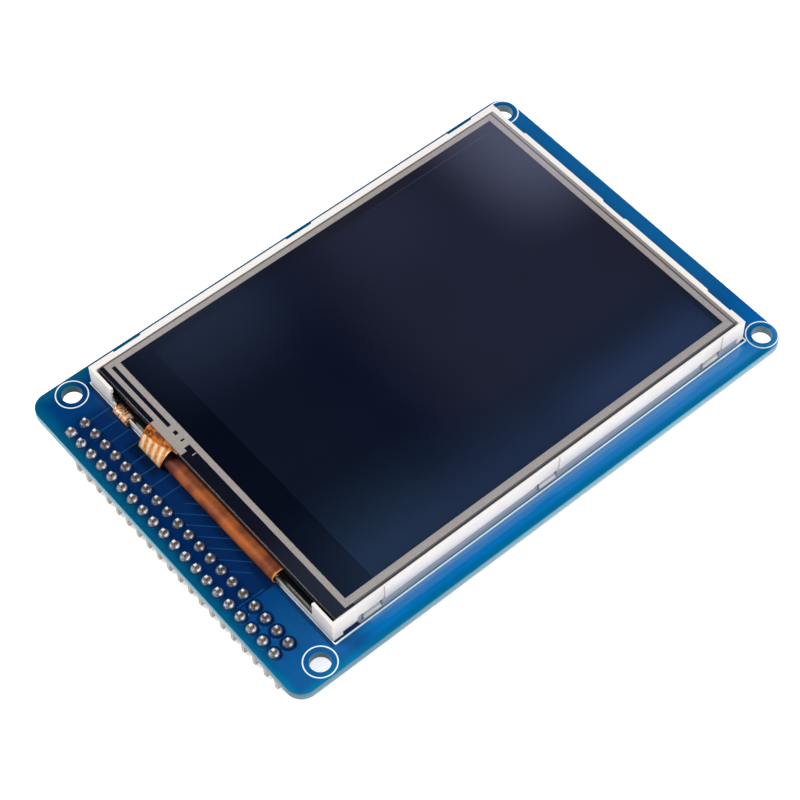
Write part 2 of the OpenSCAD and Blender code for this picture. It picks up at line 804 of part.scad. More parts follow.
module socket_shell() {
    half = socket_w / 2;
    color("#b4b8bc") on_back(0, socket_y) difference() {
        block([-half, 0, 0], [half, socket_l, socket_h]);
        block([shell_t - half, -EPS, -EPS], [half - shell_t, socket_l + EPS, socket_h - shell_t]);
        for (x = [-slot_w / 3, slot_w / 3])
            block([x - contact_w, socket_l / 2, socket_h - shell_t - EPS],
                [x + contact_w, socket_l - block_l, socket_h + EPS]);
    }
}

module socket_contacts() {
    color("#d2b25a") on_back(0, socket_y) each_contact() {
        block([0, -contact_t, slot_floor], [contact_w, block_l + contact_reach, slot_floor + contact_t]);
        block([0, -contact_t, 0], [contact_w, 0, slot_floor + contact_t]);
        block([0, -contact_foot, 0], [contact_w, 0, contact_t]);
    }
}

// Lead of a chip, bent down from its body at x = 0 to a foot on the board
module gull_lead(w, height) {
    knee = lead_reach * 0.4;
    block([0, -w / 2, height], [knee + lead_t, w / 2, height + lead_t]);
    block([knee, -w / 2, 0], [knee + lead_t, w / 2, height + lead_t]);
    block([knee, -w / 2, 0], [lead_reach, w / 2, lead_t]);
}

module touch_chip() {
    color("#1c1d20") on_back(chip_x, board_near + chip_edge)
        block([-chip_w / 2, -chip_l / 2, chip_gap], [chip_w / 2, chip_l / 2, chip_gap + chip_h]);
}

module touch_chip_leads() {
    color("#c4c7ca") on_back(chip_x, board_near + chip_edge)
        for (turn = [0, 180])
            for (i = [0 : chip_leads - 1])
                rotate([0, 0, turn])
                    translate([chip_w / 2, (i - (chip_leads - 1) / 2) * chip_pitch, 0])
                        gull_lead(chip_pitch * 0.4, chip_gap + chip_h / 2);
}

module regulator() {
    color("#1c1d20") on_back(regulator_x, board_near + regulator_edge)
        block([-regulator_w / 2, -regulator_l / 2, chip_gap],
            [regulator_w / 2, regulator_l / 2, chip_gap + regulator_h]);
}

module regulator_leads() {
    pitch = regulator_l / 2.8;
    color("#c4c7ca") on_back(regulator_x, board_near + regulator_edge) {
        for (i = [-1, 0, 1])
            translate([regulator_w / 2, i * pitch, 0]) gull_lead(pitch * 0.3, chip_gap + regulator_h / 2);
        rotate([0, 0, 180]) translate([regulator_w / 2, 0, 0])
            gull_lead(pitch * 1.3, chip_gap + regulator_h / 2);
    }
}

// Chip capacitors beside the touch chip and the regulator
module capacitors() {
    room = lead_reach + capacitor_w;
    spots = [[chip_x - chip_w / 2 - room, chip_edge], [chip_x + chip_w / 2 + room, chip_edge],
        [regulator_x - regulator_w / 2 - room, regulator_edge - capacitor_l],
        [regulator_x - regulator_w / 2 - room, regulator_edge + capacitor_l],
        [regulator_x + regulator_w / 2 + room, regulator_edge]];
    color("#9c8260") for (spot = spots)
        on_back(spot[0], board_near + spot[1])
            block([-capacitor_w / 2, -capacitor_l / 2, 0], [capacitor_w / 2, capacitor_l / 2, capacitor_h]);
}

module resistors() {
    color("#26272b") for (i = [0 : resistor_count - 1])
        on_back((i - (resistor_count - 1) / 2) * resistor_pitch, board_near + resistor_edge)
            block([-resistor_w / 2, -resistor_l / 2, 0], [resistor_w / 2, resistor_l / 2, resistor_h]);
}

circuit_board();
header_base();
header_pins();
solder_joints();
tape_strips();
backlight_tray();
reflector_sheet();
light_guide();
diffuser_sheet();
lower_prism_sheet();
upper_prism_sheet();
led_strip();
backlight_leds();
mould_frame();
rear_polarizer();
array_glass();
filter_glass();
front_polarizer();
driver_chip();
display_flex();
touch_gasket();
touch_glass();
touch_ring();
silver_border();
touch_film();
touch_tail();
socket_base();
socket_shell();
socket_contacts();
touch_chip();
touch_chip_leads();
regulator();
regulator_leads();
capacitors();
resistors();
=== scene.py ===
# %% [markdown]
# # A touch display module on a blue board
# The imported solids come in first, as a fixed frame in metres. Each later cell adds one finish or
# one piece on top of them.

# %% Load the imported solids
import bmesh
import bpy
import numpy as np
from mathutils import Matrix, Vector


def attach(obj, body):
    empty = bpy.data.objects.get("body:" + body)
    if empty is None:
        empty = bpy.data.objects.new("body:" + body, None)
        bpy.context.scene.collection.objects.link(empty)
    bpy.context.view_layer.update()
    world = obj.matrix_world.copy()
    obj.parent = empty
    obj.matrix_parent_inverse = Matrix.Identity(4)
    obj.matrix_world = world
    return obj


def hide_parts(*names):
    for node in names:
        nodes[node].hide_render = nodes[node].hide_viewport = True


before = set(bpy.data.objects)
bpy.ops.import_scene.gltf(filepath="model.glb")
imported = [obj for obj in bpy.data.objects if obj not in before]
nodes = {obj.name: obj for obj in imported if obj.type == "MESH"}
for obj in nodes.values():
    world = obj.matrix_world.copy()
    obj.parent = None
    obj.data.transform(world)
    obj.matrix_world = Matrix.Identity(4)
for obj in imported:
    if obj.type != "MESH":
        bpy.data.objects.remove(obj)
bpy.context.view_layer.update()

MM = 0.001

# %% [markdown]
# ## The camera
# A long lens stands a third of a metre away, above the near right corner. Its place and its three
# directions come from the known pitch of the header's pins, which fixes the scale. A camera could
# be aimed with a Track To constraint, but writing its matrix keeps the roll exact.

# %% Camera
CAMERA_AT = (152.491, -127.011, 279.719)
CAMERA_RIGHT = (0.64331674, 0.76548085, -0.01351443)
CAMERA_UP = (-0.62509702, 0.53536511, 0.56801225)
CAMERA_BACK = (0.44203765, -0.35696396, 0.82290914)
FOCAL_PIXELS = 2274.956
PICTURE_PIXELS = 800.0
SENSOR_MM = 36.0

lens = bpy.data.cameras.new("studio_camera")
lens.sensor_fit = "HORIZONTAL"
lens.sensor_width = SENSOR_MM
lens.lens = SENSOR_MM * FOCAL_PIXELS / PICTURE_PIXELS
lens.clip_start = 0.01
camera = bpy.data.objects.new("studio_camera", lens)
columns = np.eye(4)
columns[:3, :4] = np.stack([CAMERA_RIGHT, CAMERA_UP, CAMERA_BACK,
                            np.array(CAMERA_AT) * MM], axis=1)
camera.matrix_world = Matrix(columns.tolist())
bpy.context.scene.collection.objects.link(camera)
bpy.context.scene.camera = camera
bpy.context.scene.view_settings.view_transform = "Standard"
print("camera lens in mm:", round(lens.lens, 2))

# %% [markdown]
# ## Sums of sockets
# A finish is a small sum: a mask times a colour, plus some grain. Wiring Math nodes by hand hides
# that, so one class wraps a socket and lets Python's own signs add the Math nodes. Every other
# node comes from its `add`, which takes the node's type, its settings and its sockets.

# %% The socket wrapper
class Wire:
    """A socket in a material. Signs between wires and numbers add Math nodes."""

    def __init__(self, tree, socket=None):
        self.tree = tree
        self.socket = socket

    def add(self, kind, settings=None, sockets=None, out=0):
        """Add a node: first its settings, then the values or links of its sockets."""
        node = self.tree.nodes.new("ShaderNode" + kind)
        for name, value in (settings or {}).items():
            setattr(node, name, value)
        for key, value in (sockets or {}).items():
            if isinstance(value, Wire):
                self.tree.links.new(value.socket, node.inputs[key])
            else:
                node.inputs[key].default_value = value
        return Wire(self.tree, node.outputs[out] if len(node.outputs) else None)

    def pick(self, name):
        """Another output of the same node."""
        return Wire(self.tree, self.socket.node.outputs[name])

    def math(self, operation, *values):
        return self.add("Math", {"operation": operation}, dict(enumerate(values)))

    def __add__(self, other):
        return self.math("ADD", self, other)

    def __sub__(self, other):
        return self.math("SUBTRACT", self, other)

    def __rsub__(self, other):
        return self.math("SUBTRACT", other, self)

    def __mul__(self, other):
        return self.math("MULTIPLY", self, other)

    def __pow__(self, other):
        return self.math("POWER", self, other)

    def __abs__(self):
        return self.math("ABSOLUTE", self)

    def __gt__(self, other):
        return self.math("GREATER_THAN", self, other)

    def __lt__(self, other):
        return self.math("LESS_THAN", self, other)

    __radd__ = __add__
    __rmul__ = __mul__


print("signs that add nodes: + - * ** abs > <")

# %% [markdown]
# ## Words for masks and colours
# Print on a board, stripes on a cable and grain in plastic are all masks: numbers from 0 to 1
# over the surface. These helpers read the place of a point in millimetres, so that a size in the
# code is a size on the part.

# %% Mask and colour helpers
def tone(red, green, blue):
    """A screen colour from 0 to 255, made linear: the power 2.4 curve, straight near black."""
    c = np.array([red, green, blue]) / 255.0
    lin = np.where(c <= 0.04045, c / 12.92, ((c + 0.055) / 1.055) ** 2.4)
    return (*(float(v) for v in lin), 1.0)


def smooth(value, low, high):
    """0 below low, 1 above high, with a soft S between them."""
    return value.add("MapRange", {"interpolation_type": "SMOOTHSTEP"},
                     {"Value": value, "From Min": low, "From Max": high})


def span(value, low, high, soft=0.04):
    """1 between low and high, falling to 0 over a soft edge on either side."""
    return smooth(value, low - soft, low + soft) * (1 - smooth(value, high - soft, high + soft))


def line(value, at, half, soft=0.05):
    """1 on a line of that half width, where value is near at."""
    return 1 - smooth(abs(value - at), half, half + soft)


def least(a, b):
    return a.math("MINIMUM", a, b)


def most(a, b):
    return a.math("MAXIMUM", a, b)


def radius(a, b):
    """The root of the sum of two squares."""
    return (a * a + b * b) ** 0.5


def wave(value, start, pitch):
    """Distance to the nearest of a row of lines that begins at start, one pitch apart."""
    part = value.math("FLOORED_MODULO", value - (start - pitch / 2), pitch)
    return abs(part - pitch / 2)


def blend(mask, colour, over, mode="MIX"):
    """The first colour where mask is 0 and the second where it is 1."""
    return mask.add("Mix", {"data_type": "RGBA", "blend_type": mode},
                    {0: mask, 6: colour, 7: over}, out=2)


def noise(spot, scale, detail=3.0, stretch=None):
    """Soft random cloud from 0 to 1; scale counts its lumps in a millimetre."""
    if stretch:
        spot = spot.add("VectorMath", {"operation": "MULTIPLY"}, {0: spot, 1: stretch})
    return spot.add("TexNoise", None, {"Vector": spot, "Scale": scale, "Detail": detail})


def start_finish(name):
    """A new material: its wire, the place of a point in mm, and that place's three parts."""
    material = bpy.data.materials.new(name)
    material.use_nodes = True
    material.node_tree.nodes.clear()
    wire = Wire(material.node_tree)
    spot = wire.add("TexCoord", out="Object")
    spot = wire.add("VectorMath", {"operation": "SCALE"}, {0: spot, "Scale": 1 / MM})
    parts = wire.add("SeparateXYZ", None, {0: spot})
    return material, wire, spot, parts, parts.pick("Y"), parts.pick("Z")


def end_finish(material, wire, sockets, height=None, rise=0.01, matt=None):
    """Close a material with one shader; height bends the light by a rise given in mm. Where matt
    is 1, a second shader of the same colour takes the gloss away."""
    if height is not None:
        sockets["Normal"] = wire.add("Bump", None, {"Height": height, "Strength": 1.0,
                                                    "Distance": rise * MM})
    shader = wire.add("BsdfPrincipled", None, sockets)
    if matt is not None:
        dull = wire.add("BsdfPrincipled", None, {"Base Color": sockets["Base Color"],
                                                 "Roughness": 0.7, "Specular IOR Level": 0.05})
        shader = wire.add("MixShader", None, {0: matt, 1: shader, 2: dull})
    wire.add("OutputMaterial", None, {"Surface": shader})
    print("finish:", material.name, "from", len(material.node_tree.nodes), "nodes")
    return material


print("helpers: smooth, span, line, wave, blend, noise")

# %% [markdown]
# ## The floor
# The object stands on the tips of its inner pins at one end and on its card socket at the other,
# so the plain white floor slopes a little under it. The object could be turned to lie level
# instead, but it has to stay in the frame that it shares with the solids, so the floor takes the
# slope.

# %% Floor
FLOOR_NEAR = (-44.14, -8.56)
FLOOR_FAR = (44.8, -2.92)
FLOOR_HALF = 3000.0
slope = (FLOOR_FAR[1] - FLOOR_NEAR[1]) / (FLOOR_FAR[0] - FLOOR_NEAR[0])


def floor_height(y):
    """Height of the floor, in mm: a straight line through the two places that carry the part."""
    return FLOOR_NEAR[1] + slope * (y - FLOOR_NEAR[0])


corner = np.array([[-1, -1], [1, -1], [1, 1], [-1, 1]]) * FLOOR_HALF
floor_mesh = bpy.data.meshes.new("studio_floor")
floor_points = np.c_[corner, floor_height(corner[:, 1])] * MM
floor_mesh.from_pydata(floor_points.tolist(), [], [(0, 1, 2, 3)])
studio_floor = bpy.data.objects.new("studio_floor", floor_mesh)
bpy.context.scene.collection.objects.link(studio_floor)

paper, wire, spot, x, y, z = start_finish("white_paper")
paper_tone = blend(noise(spot, 0.02), tone(250, 250, 250), tone(252, 252, 252))
studio_floor.data.materials.append(end_finish(paper, wire, {
    "Base Color": paper_tone, "Roughness": 0.9, "Specular IOR Level": 0.1,
    "Emission Color": (1, 1, 1, 1), "Emission Strength": 0.55}))
print("floor slope in degrees:", round(float(np.degrees(np.arctan(slope))), 2))

# %% [markdown]
# ## The lamps
# Large soft lamps to the left, right and back wrap the part in even light, and a low one fills
# the front. Sun or spot lamps would draw hard shadows. Nothing bright stands where the screen
# mirrors the room for this camera, which is what keeps a dark screen dark.

# %% Lamps
# Each row: name, place, point it faces, width and height, power in watts, colour
LAMPS = (
    ("left_softbox", (-430, -330, 520), (0, 0), (420, 420), 4.8, (1.0, 0.99, 0.98)),
    ("right_softbox", (560, 120, 420), (0, 0), (420, 420), 2.7, (0.99, 0.99, 1.0)),
    ("back_softbox", (240, 640, 430), (0, 0), (420, 420), 2.6, (1.0, 1.0, 1.0)),
    ("front_fill", (140, -820, 150), (0, 0), (700, 260), 1.0, (1.0, 1.0, 1.0)),
)


def add_lamp(name, at, aim, size, power, colour):
    """A flat soft lamp at a place in mm, turned to face a point of the ground plane."""
    data = bpy.data.lights.new(name, "AREA")
    data.shape = "RECTANGLE"
    data.size, data.size_y = size[0] * MM, size[1] * MM
    data.energy = power
    data.color = colour
    lamp = bpy.data.objects.new(name, data)
    place = Vector(at) * MM
    turn = (Vector((*aim, 0)) * MM - place).to_track_quat("-Z", "Y").to_matrix().to_4x4()
    lamp.matrix_world = Matrix.Translation(place) @ turn
    bpy.context.scene.collection.objects.link(lamp)


for lamp_row in LAMPS:
    add_lamp(*lamp_row)
world = bpy.data.worlds.new("studio_air")
world.use_nodes = True
world.node_tree.nodes["Background"].inputs["Color"].default_value = (0.6, 0.8, 1.0, 1.0)
world.node_tree.nodes["Background"].inputs["Strength"].default_value = 0.015
bpy.context.scene.world = world
print("lamps:", len(LAMPS))

# %% [markdown]
# ## The blue board
# The board is glass cloth and resin with a blue lacquer over its copper. The lacquer looks deep
# blue over bare resin and brighter over copper, and greener at the rim, where daylight shines
# through. White print rings the holes and outlines the screen. An image would fix its sharpness;
# masks from the place of each point stay crisp at any size.

# %% Board sizes and masks
HOLE_X = 29.5
HOLE_Y = 42.9
PIN_X0 = -23.88
PIN_PITCH = 2.54
PIN_ROWS = (-47.0, -44.46)
BOARD_HALF = 32.3
BOARD_Y0 = -49.0
BOARD_Y1 = 45.3
BOARD_TOP = 1.6

mask_blue, wire, spot, x, y, z = start_finish("blue_lacquer_on_copper")
cloud = noise(spot, 0.12, 4.0)
fine = noise(spot, 6.0, 2.0)
wall = span(z, 0.03, BOARD_TOP - 0.03, 0.02)
top = z > BOARD_TOP / 2
rim = least(BOARD_HALF - abs(x), least(y - BOARD_Y0, BOARD_Y1 - y))
hole = radius(abs(x) - HOLE_X, abs(y) - HOLE_Y)
pin_row = least(abs(y - PIN_ROWS[0]), abs(y - PIN_ROWS[1]))
pin = radius(wave(x, PIN_X0, PIN_PITCH), pin_row)
print("board masks from", len(mask_blue.node_tree.nodes), "nodes")

# %% [markdown]
# ### Print and tracks on the screen's side
# White ink rings the holes and draws the outline of the screen. Under the lacquer, thin tracks
# run from the pins towards the display, and a field of copper fills the right side and the far
# end. Each is a line or a span of x and y, which is also how a board is drawn before it is made.

# %% Board print and tracks on the screen's side
SCREEN_LINE = (-29.45, 28.69, -39.59, 40.3)
ring_print = line(hole, 2.46, 0.07)
side_print = most(line(x, SCREEN_LINE[0], 0.1), line(x, SCREEN_LINE[1], 0.12, 0.04))
side_print = side_print * span(y, SCREEN_LINE[2], SCREEN_LINE[3])
end_print = most(line(y, SCREEN_LINE[2], 0.05), line(y, SCREEN_LINE[3], 0.1))
end_print = end_print * span(x, SCREEN_LINE[0], SCREEN_LINE[1])
top_print = most(ring_print, most(side_print, end_print))

up_tracks = line(wave(x, PIN_X0, PIN_PITCH), 0.0, 0.07) * span(x, -24.8, -5.4)
up_tracks = up_tracks * span(y, -43.5, -38.0)
slant_tracks = line(wave(x - y, PIN_X0 - PIN_ROWS[1], PIN_PITCH), 0.0, 0.09)
slant_tracks = slant_tracks * span(y, -43.6, -38.0) * span(x, -3.2, 12.2)
lone_track = line(x, 15.36, 0.09) * span(y, -46.4, -41.6)
top_tracks = most(up_tracks, most(slant_tracks, lone_track))

pour = most(smooth(x, 15.7, 15.9), smooth(y, 38.0, 39.0))
pour = pour * most(smooth(rim, 0.2, 1.5), smooth(y, 41.0, 42.5))
pour = pour * (0.55 + 0.45 * smooth(hole, 1.8, 2.2))
gap_round_pins = (1 - smooth(pin, 1.2, 1.32)) * span(x, 15.0, 25.6)
pour = pour * (1 - gap_round_pins)
print("print and tracks on top from", len(mask_blue.node_tree.nodes), "nodes")

# %% [markdown]
# ### Print and tracks on the back
# On the back, tracks run from the pins towards the card socket, and ink outlines that socket. A
# second material would need the board cut in two, so one mask, which is 1 above the middle of the
# board, picks the set of lines that a point shows.

# %% Board print and tracks on the back
SOCKET_BOX = (-14.3, 14.3, 17.6, 45.0)
back_tracks = line(wave(x, PIN_X0 + PIN_PITCH / 2, PIN_PITCH), 0.0, 0.1)
back_tracks = back_tracks * span(y, -43.0, 12.0) * span(x, -26.0, 26.0)
back_slant = line(wave(x + y, 0.0, 3.6), 0.0, 0.1) * span(y, 12.0, 17.0) * span(x, -24.0, 24.0)
back_pour = smooth(rim, 0.65, 0.8) * smooth(hole, 3.2, 3.3) * smooth(pin, 1.2, 1.3)
back_print = most(line(x, SOCKET_BOX[0], 0.08), line(x, SOCKET_BOX[1], 0.08))
back_print = back_print * span(y, SOCKET_BOX[2], SOCKET_BOX[3])
back_print = most(back_print, line(y, SOCKET_BOX[2], 0.08) * span(x, *SOCKET_BOX[:2]))
back_print = most(back_print, ring_print)
ink = top * top_print + (1 - top) * back_print
tracks = top * top_tracks + (1 - top) * most(back_tracks, back_slant)
copper = top * pour + (1 - top) * back_pour * (1 - smooth(abs(x), 27.0, 27.2))
print("print and tracks on the back from", len(mask_blue.node_tree.nodes), "nodes")

# %% [markdown]
# ### Colour of the lacquer
# The pin end looks dark and the right side bright, because the white frame throws light down on
# it there and the copper below sends it back. The lamps give part of that. Soft masks along x and
# y give the rest, from the resin's deep blue to the light stripe at the foot of the frame.

# %% Board colour
lacquer = blend(cloud, tone(0, 34, 82), tone(0, 46, 102))
lacquer = blend((1 - smooth(x, -26.5, -23.5)) * 0.9, lacquer, tone(0, 60, 118))
lacquer = blend(smooth(x, 25.6, 28.5), lacquer, tone(0, 92, 150))
over_copper = blend(smooth(x, 14.0, 30.0), tone(2, 66, 126), tone(8, 98, 168))
near_right = smooth(x, 17.0, 24.0) * (1 - smooth(y, -39.5, -34.0))
over_copper = blend(near_right * 0.8, over_copper, tone(16, 84, 144))
far_end = smooth(y, 40.0, 42.0) * (1 - smooth(x, 14.0, 27.0))
over_copper = blend(far_end, over_copper, tone(16, 90, 148))
beside_frame = smooth(x, 28.0, 29.0) * span(y, -35.0, 41.0, 2.5)
over_copper = blend(beside_frame * (0.7 + 0.3 * cloud), over_copper, tone(0, 129, 207))
wall_light = span(x - 0.006 * y, 28.85, 29.52, 0.12) * span(y, -33.5, 39.0, 0.5)
over_copper = blend(wall_light * 0.9, over_copper, tone(79, 142, 206))
far_light = smooth(x, 29.2, 29.6) * smooth(y, -15.0, 36.0) * 0.6
over_copper = blend(far_light, over_copper, tone(56, 138, 204))
lacquer = blend(copper, lacquer, over_copper)
print("lacquer over copper from", len(mask_blue.node_tree.nodes), "nodes")

# %% [markdown]
# ### Shade, rim and cut edge
# Shade gathers at the frame's foot and under the cables, the rim is lit from below, and the sawn
# edge shows pale glass cloth under a blue skin. The board is one solid, so height tells the cut
# edge from the faces. Ink and copper stand a few hundredths of a millimetre high, which a bump
# shows.

# %% Board shade, rim and cut edge
under_frame = span(x, -29.3, 28.62) * span(y, -39.5, 40.2)
lacquer = blend(under_frame * 0.85, lacquer, tone(2, 22, 60))
by_tray = span(x, 27.8, 28.38, 0.03) * span(y, -34.9, 39.5)
lacquer = blend(by_tray, lacquer, tone(150, 175, 200))
by_wall = span(y, -40.3, -39.66, 0.12) * span(x, -29.5, 28.8)
by_tail = span(x, -16.8, -9.8, 0.8) * span(y, -42.5, -40.0, 0.6)
by_cable = span(x, -10.0, 15.9, 0.4) * span(y, -41.15, -39.8, 0.3)
by_cable = most(by_cable * 0.45, most(by_wall * 0.5, by_tail * 0.75))
lacquer = blend(by_cable, lacquer, tone(0, 14, 38))
rim_light = (1 - smooth(rim, 0.0, 2.8)) * (1 - copper) * (1 - smooth(y, 42.5, 44.5))
rim_tone = blend(smooth(x, 10.0, 30.0), tone(0, 92, 128), tone(2, 114, 160))
lacquer = blend(rim_light * 0.9, lacquer, rim_tone)
lacquer = blend(tracks * 0.5, lacquer, tone(24, 92, 152))
lacquer = blend(ink, lacquer, tone(236, 251, 255))
cut = blend(smooth(z, 0.0, 1.2), tone(166, 179, 184), tone(104, 157, 180))
cut = blend(fine * 0.2, cut, tone(120, 152, 164))
cut = blend(smooth(z, 1.2, 1.58) * 0.6, cut, tone(44, 112, 146))
# Painted shade: the cut edge is greyer and darker towards the near right corner.
cut_edge_shade = smooth(x, 12.0, 28.0) * (1 - smooth(y, -46.0, 14.0))
cut = blend(cut_edge_shade * 0.45, cut, tone(80, 104, 114))
bore = blend(smooth(z, 0.3, 1.4), tone(80, 98, 100), tone(70, 118, 142))
# Painted reflection: the bores of the far holes show paler teal patches.
bore = blend(noise(spot, 2.0) * smooth(y, -20.0, 20.0), bore, tone(132, 152, 150))
cut = blend(1 - smooth(hole, 1.8, 2.0), cut, bore)
board_tone = blend(wall, lacquer, cut)
shine = 0.08 + 0.05 * fine + 0.35 * ink + 0.04 * (1 - smooth(y, -42.0, -39.6))
shine = shine * (1 - wall) + 0.7 * wall
step = tracks * 0.6 + copper * 0.6 + ink * 0.4 + fine * 0.08
calm = most(span(y, -43.6, -39.6, 0.5), smooth(x, 28.4, 28.8) * (1 - smooth(y, -36.0, -26.0)))
calm = calm * 0.85
blue_lacquer = end_finish(mask_blue, wire, {"Base Color": board_tone, "Roughness": shine,
                                            "Specular IOR Level": 0.42}, step, 0.03, calm)

# %% [markdown]
# ## Black plastic and chips
# The pin strip and the card socket are black, and a little greyer where the mould left them matt.
# Chips are cast in a coarser epoxy. A flat colour would look like paint, so each gets two close
# tones, a soft gloss that wanders, and a bump of fine grain.

# %% Moulded plastics
def moulded(name, low, high, gloss, grain, rise):
    """Plastic: two tones through a slow cloud, gloss that wanders, and fine grain."""
    material, wire, spot, x, y, z = start_finish(name)
    slow = noise(spot, 0.25, 4.0)
    fine = noise(spot, grain, 2.0)
    return end_finish(material, wire, {
        "Base Color": blend(slow, tone(*low), tone(*high)),
        "Roughness": gloss + 0.16 * slow + 0.06 * fine}, fine, rise)


black_moulding = moulded("black_header_plastic", (20, 20, 21), (31, 31, 32), 0.42, 8.0, 0.006)
chip_moulding = moulded("chip_epoxy", (24, 24, 26), (38, 38, 40), 0.5, 14.0, 0.008)

# %% [markdown]
# ### The white frame
# The frame is white filled nylon, moulded with a faint grain. Its finish also paints shade: black
# on the top of its low wall at two places, for the dark gap under the panel's edge, grey at the
# foot of its front face, and grey where the tray's clips shade its right side. This painted shade
# is a mask in the frame's own finish and not a piece of its own.

# %% The white frame
WALL_SHADE_X = (15.8, 23.6)
CLIP_Y0 = -32.6
CLIP_PITCH = 32.775
CLIP_HALF = 1.55
white_nylon, wire, spot, x, y, z = start_finish("white_filled_nylon")
slow = noise(spot, 0.25, 4.0)
fine = noise(spot, 9.0, 2.0)
front = 1 - smooth(y, -39.56, -39.48)
# Painted shade: the foot of the front face turns grey, more so on the left.
foot = front * (1 - smooth(z, 1.8, 2.6)) * (0.55 + 0.3 * (x < 0))
# Painted shade: black on the top of the low wall at two places, for the dark gap under the panel's
# edge.
wall_top_shade = span(x, *WALL_SHADE_X) * (z > 3.22) * (1 - smooth(y, -39.3, -39.2))
wall_top_shade_left = span(x, -19.6, -14.8) * (z > 3.22) * span(y, -39.46, -38.2, 0.04)
wall_top_shade = most(wall_top_shade, wall_top_shade_left)
frame_tone = blend(slow, tone(239, 233, 229), tone(248, 243, 239))
clip = (x > 28.27) * (z < 3.1) * (1 - smooth(wave(y, CLIP_Y0, CLIP_PITCH), 1.6, 1.7))
clip = clip * (0.2 + 0.5 * (1 - smooth(z, 1.95, 2.4)))
frame_tone = blend(most(foot, clip), frame_tone, tone(112, 114, 126))
white_moulding = end_finish(white_nylon, wire, {
    "Base Color": blend(wall_top_shade, frame_tone, tone(14, 15, 18)),
    "Roughness": 0.4 + 0.16 * slow + 0.06 * fine}, fine, 0.004)

# %% [markdown]
# ## Metals
# The socket's cover is rolled steel, so its gloss runs in long fine streaks. Contacts are gilt
# and leads are tinned. Brushed steel could be an image, but a cloud of noise that is stretched
# the way the metal was worked gives the colour and the gloss together, at any size.

# %% Metal finishes
STEEL = ((164, 168, 176), (190, 194, 201))
STEEL_GLOSS = 0.42
STEEL_BARE = 0.35
ROLLED = (1, 0.05, 1)
DRAWN = (1, 1, 0.2)


def metal(name, low, high, gloss, scale, stretch, bare=1.0):
    """Metal: two tones and a gloss that follow one cloud, stretched along the working. The part
    that is bare metal mirrors; the rest is a dull skin."""
    material, wire, spot, x, y, z = start_finish(name)
    grain = noise(spot, scale, 5.0, stretch)
    return end_finish(material, wire, {
        "Base Color": blend(grain, tone(*low), tone(*high)), "Metallic": bare,
        "Roughness": gloss + 0.2 * grain}, grain, 0.003)


rolled_steel = metal("rolled_steel", *STEEL, STEEL_GLOSS, 4.0, ROLLED, STEEL_BARE)
gilt_contact = metal("gilt_contact", (148, 132, 100), (190, 174, 140), 0.34, 3.0, DRAWN)
tinned_lead = metal("tinned_lead", (168, 166, 162), (212, 210, 206), 0.22, 3.0, (1, 1, 1))

# %% [markdown]
# ### Steel of the tray
# The tray is pressed from the same thin sheet and grips the frame with small clips. Slits free
# each clip at its ends and look black. They are far too narrow to light by themselves, so the
# finish repeats the rolled steel and draws a dark line at each end of a clip.

# %% Steel of the tray
tray_metal, wire, spot, x, y, z = start_finish("rolled_tray_steel")
grain = noise(spot, 4.0, 5.0, ROLLED)
clip_end = line(wave(y, CLIP_Y0, CLIP_PITCH), CLIP_HALF + 0.15, 0.16, 0.08) * (abs(x) > 27.9)
tray_tone = blend(grain, tone(*STEEL[0]), tone(*STEEL[1]))
tray_steel = end_finish(tray_metal, wire, {
    "Base Color": blend(clip_end * 0.7, tray_tone, tone(22, 26, 36)),
    "Metallic": STEEL_BARE - 0.3 * clip_end, "Roughness": STEEL_GLOSS + 0.2 * grain},
    grain, 0.003)

# %% [markdown]
# ### Solder
# Solder is bright but not smooth: it cools with faint ripples, and flux dries tan round the pin.
# A painted blue reflection covers the foot of each joint, where it mirrors the board, and painted
# shade darkens the inner row. Chrome would look too clean, so the ripples bend the light and the
# flux takes away some of the metal.

# %% Solder
solder_bright, wire, spot, x, y, z = start_finish("soldered_joint")
pin_row = least(abs(y - PIN_ROWS[0]), abs(y - PIN_ROWS[1]))
pin = radius(wave(x, PIN_X0, PIN_PITCH), pin_row)
ripple = noise(spot, 2.2, 4.0)
patch = noise(spot, 0.5, 2.0)
flux = (1 - smooth(pin + 0.3 * ripple, 0.48, 0.76)) * smooth(patch, 0.3, 0.55)
# Painted shade: the inner row of joints is darker.
shaded_inner_row = y > (PIN_ROWS[0] + PIN_ROWS[1]) / 2
solder_tone = blend(ripple, tone(150, 150, 160), tone(196, 196, 206))
solder_tone = blend(flux * 0.9, solder_tone, tone(138, 122, 98))
solder_tone = blend(shaded_inner_row * 0.34, solder_tone, tone(70, 70, 72))
# Painted reflection: the foot of each joint takes the blue of the board.
solder_tone = blend((1 - smooth(z, 1.7, 2.06)) * 0.85, solder_tone, tone(54, 82, 132))
solder = end_finish(solder_bright, wire, {
    "Base Color": solder_tone, "Metallic": 0.8 - 0.4 * flux,
    "Roughness": 0.3 + 0.14 * ripple + 0.2 * flux}, ripple, 0.03)

# %% [markdown]
# ### Pins
# A pin is a drawn square wire. Its shank is gilt, the part in the solder is dull from the dip and
# darker from painted shade on its side, and its cut end carries a painted white highlight. Height
# alone tells the three apart, so one finish serves all forty pins.

# %% Pins
pin_metal, wire, spot, x, y, z = start_finish("gilt_pin")
grain = noise(spot, 3.0, 5.0, DRAWN)
shank = blend(grain, tone(146, 142, 132), tone(194, 188, 176))
# Painted shade with the dull skin: above the board the pin is a darker tan.
dull_and_shaded = blend(grain, tone(104, 88, 70), tone(150, 132, 112))
# Painted highlight: the cut end of the pin is white.
tip_highlight = smooth(z, 2.78, 2.9)
pin_tone = blend(smooth(z, 1.5, 1.7), shank, dull_and_shaded)
pin_finish = end_finish(pin_metal, wire, {
    "Base Color": blend(tip_highlight, pin_tone, tone(244, 242, 240)), "Metallic": 0.8 - 0.6 * tip_highlight,
    "Roughness": 0.34 + 0.2 * grain}, grain, 0.003)

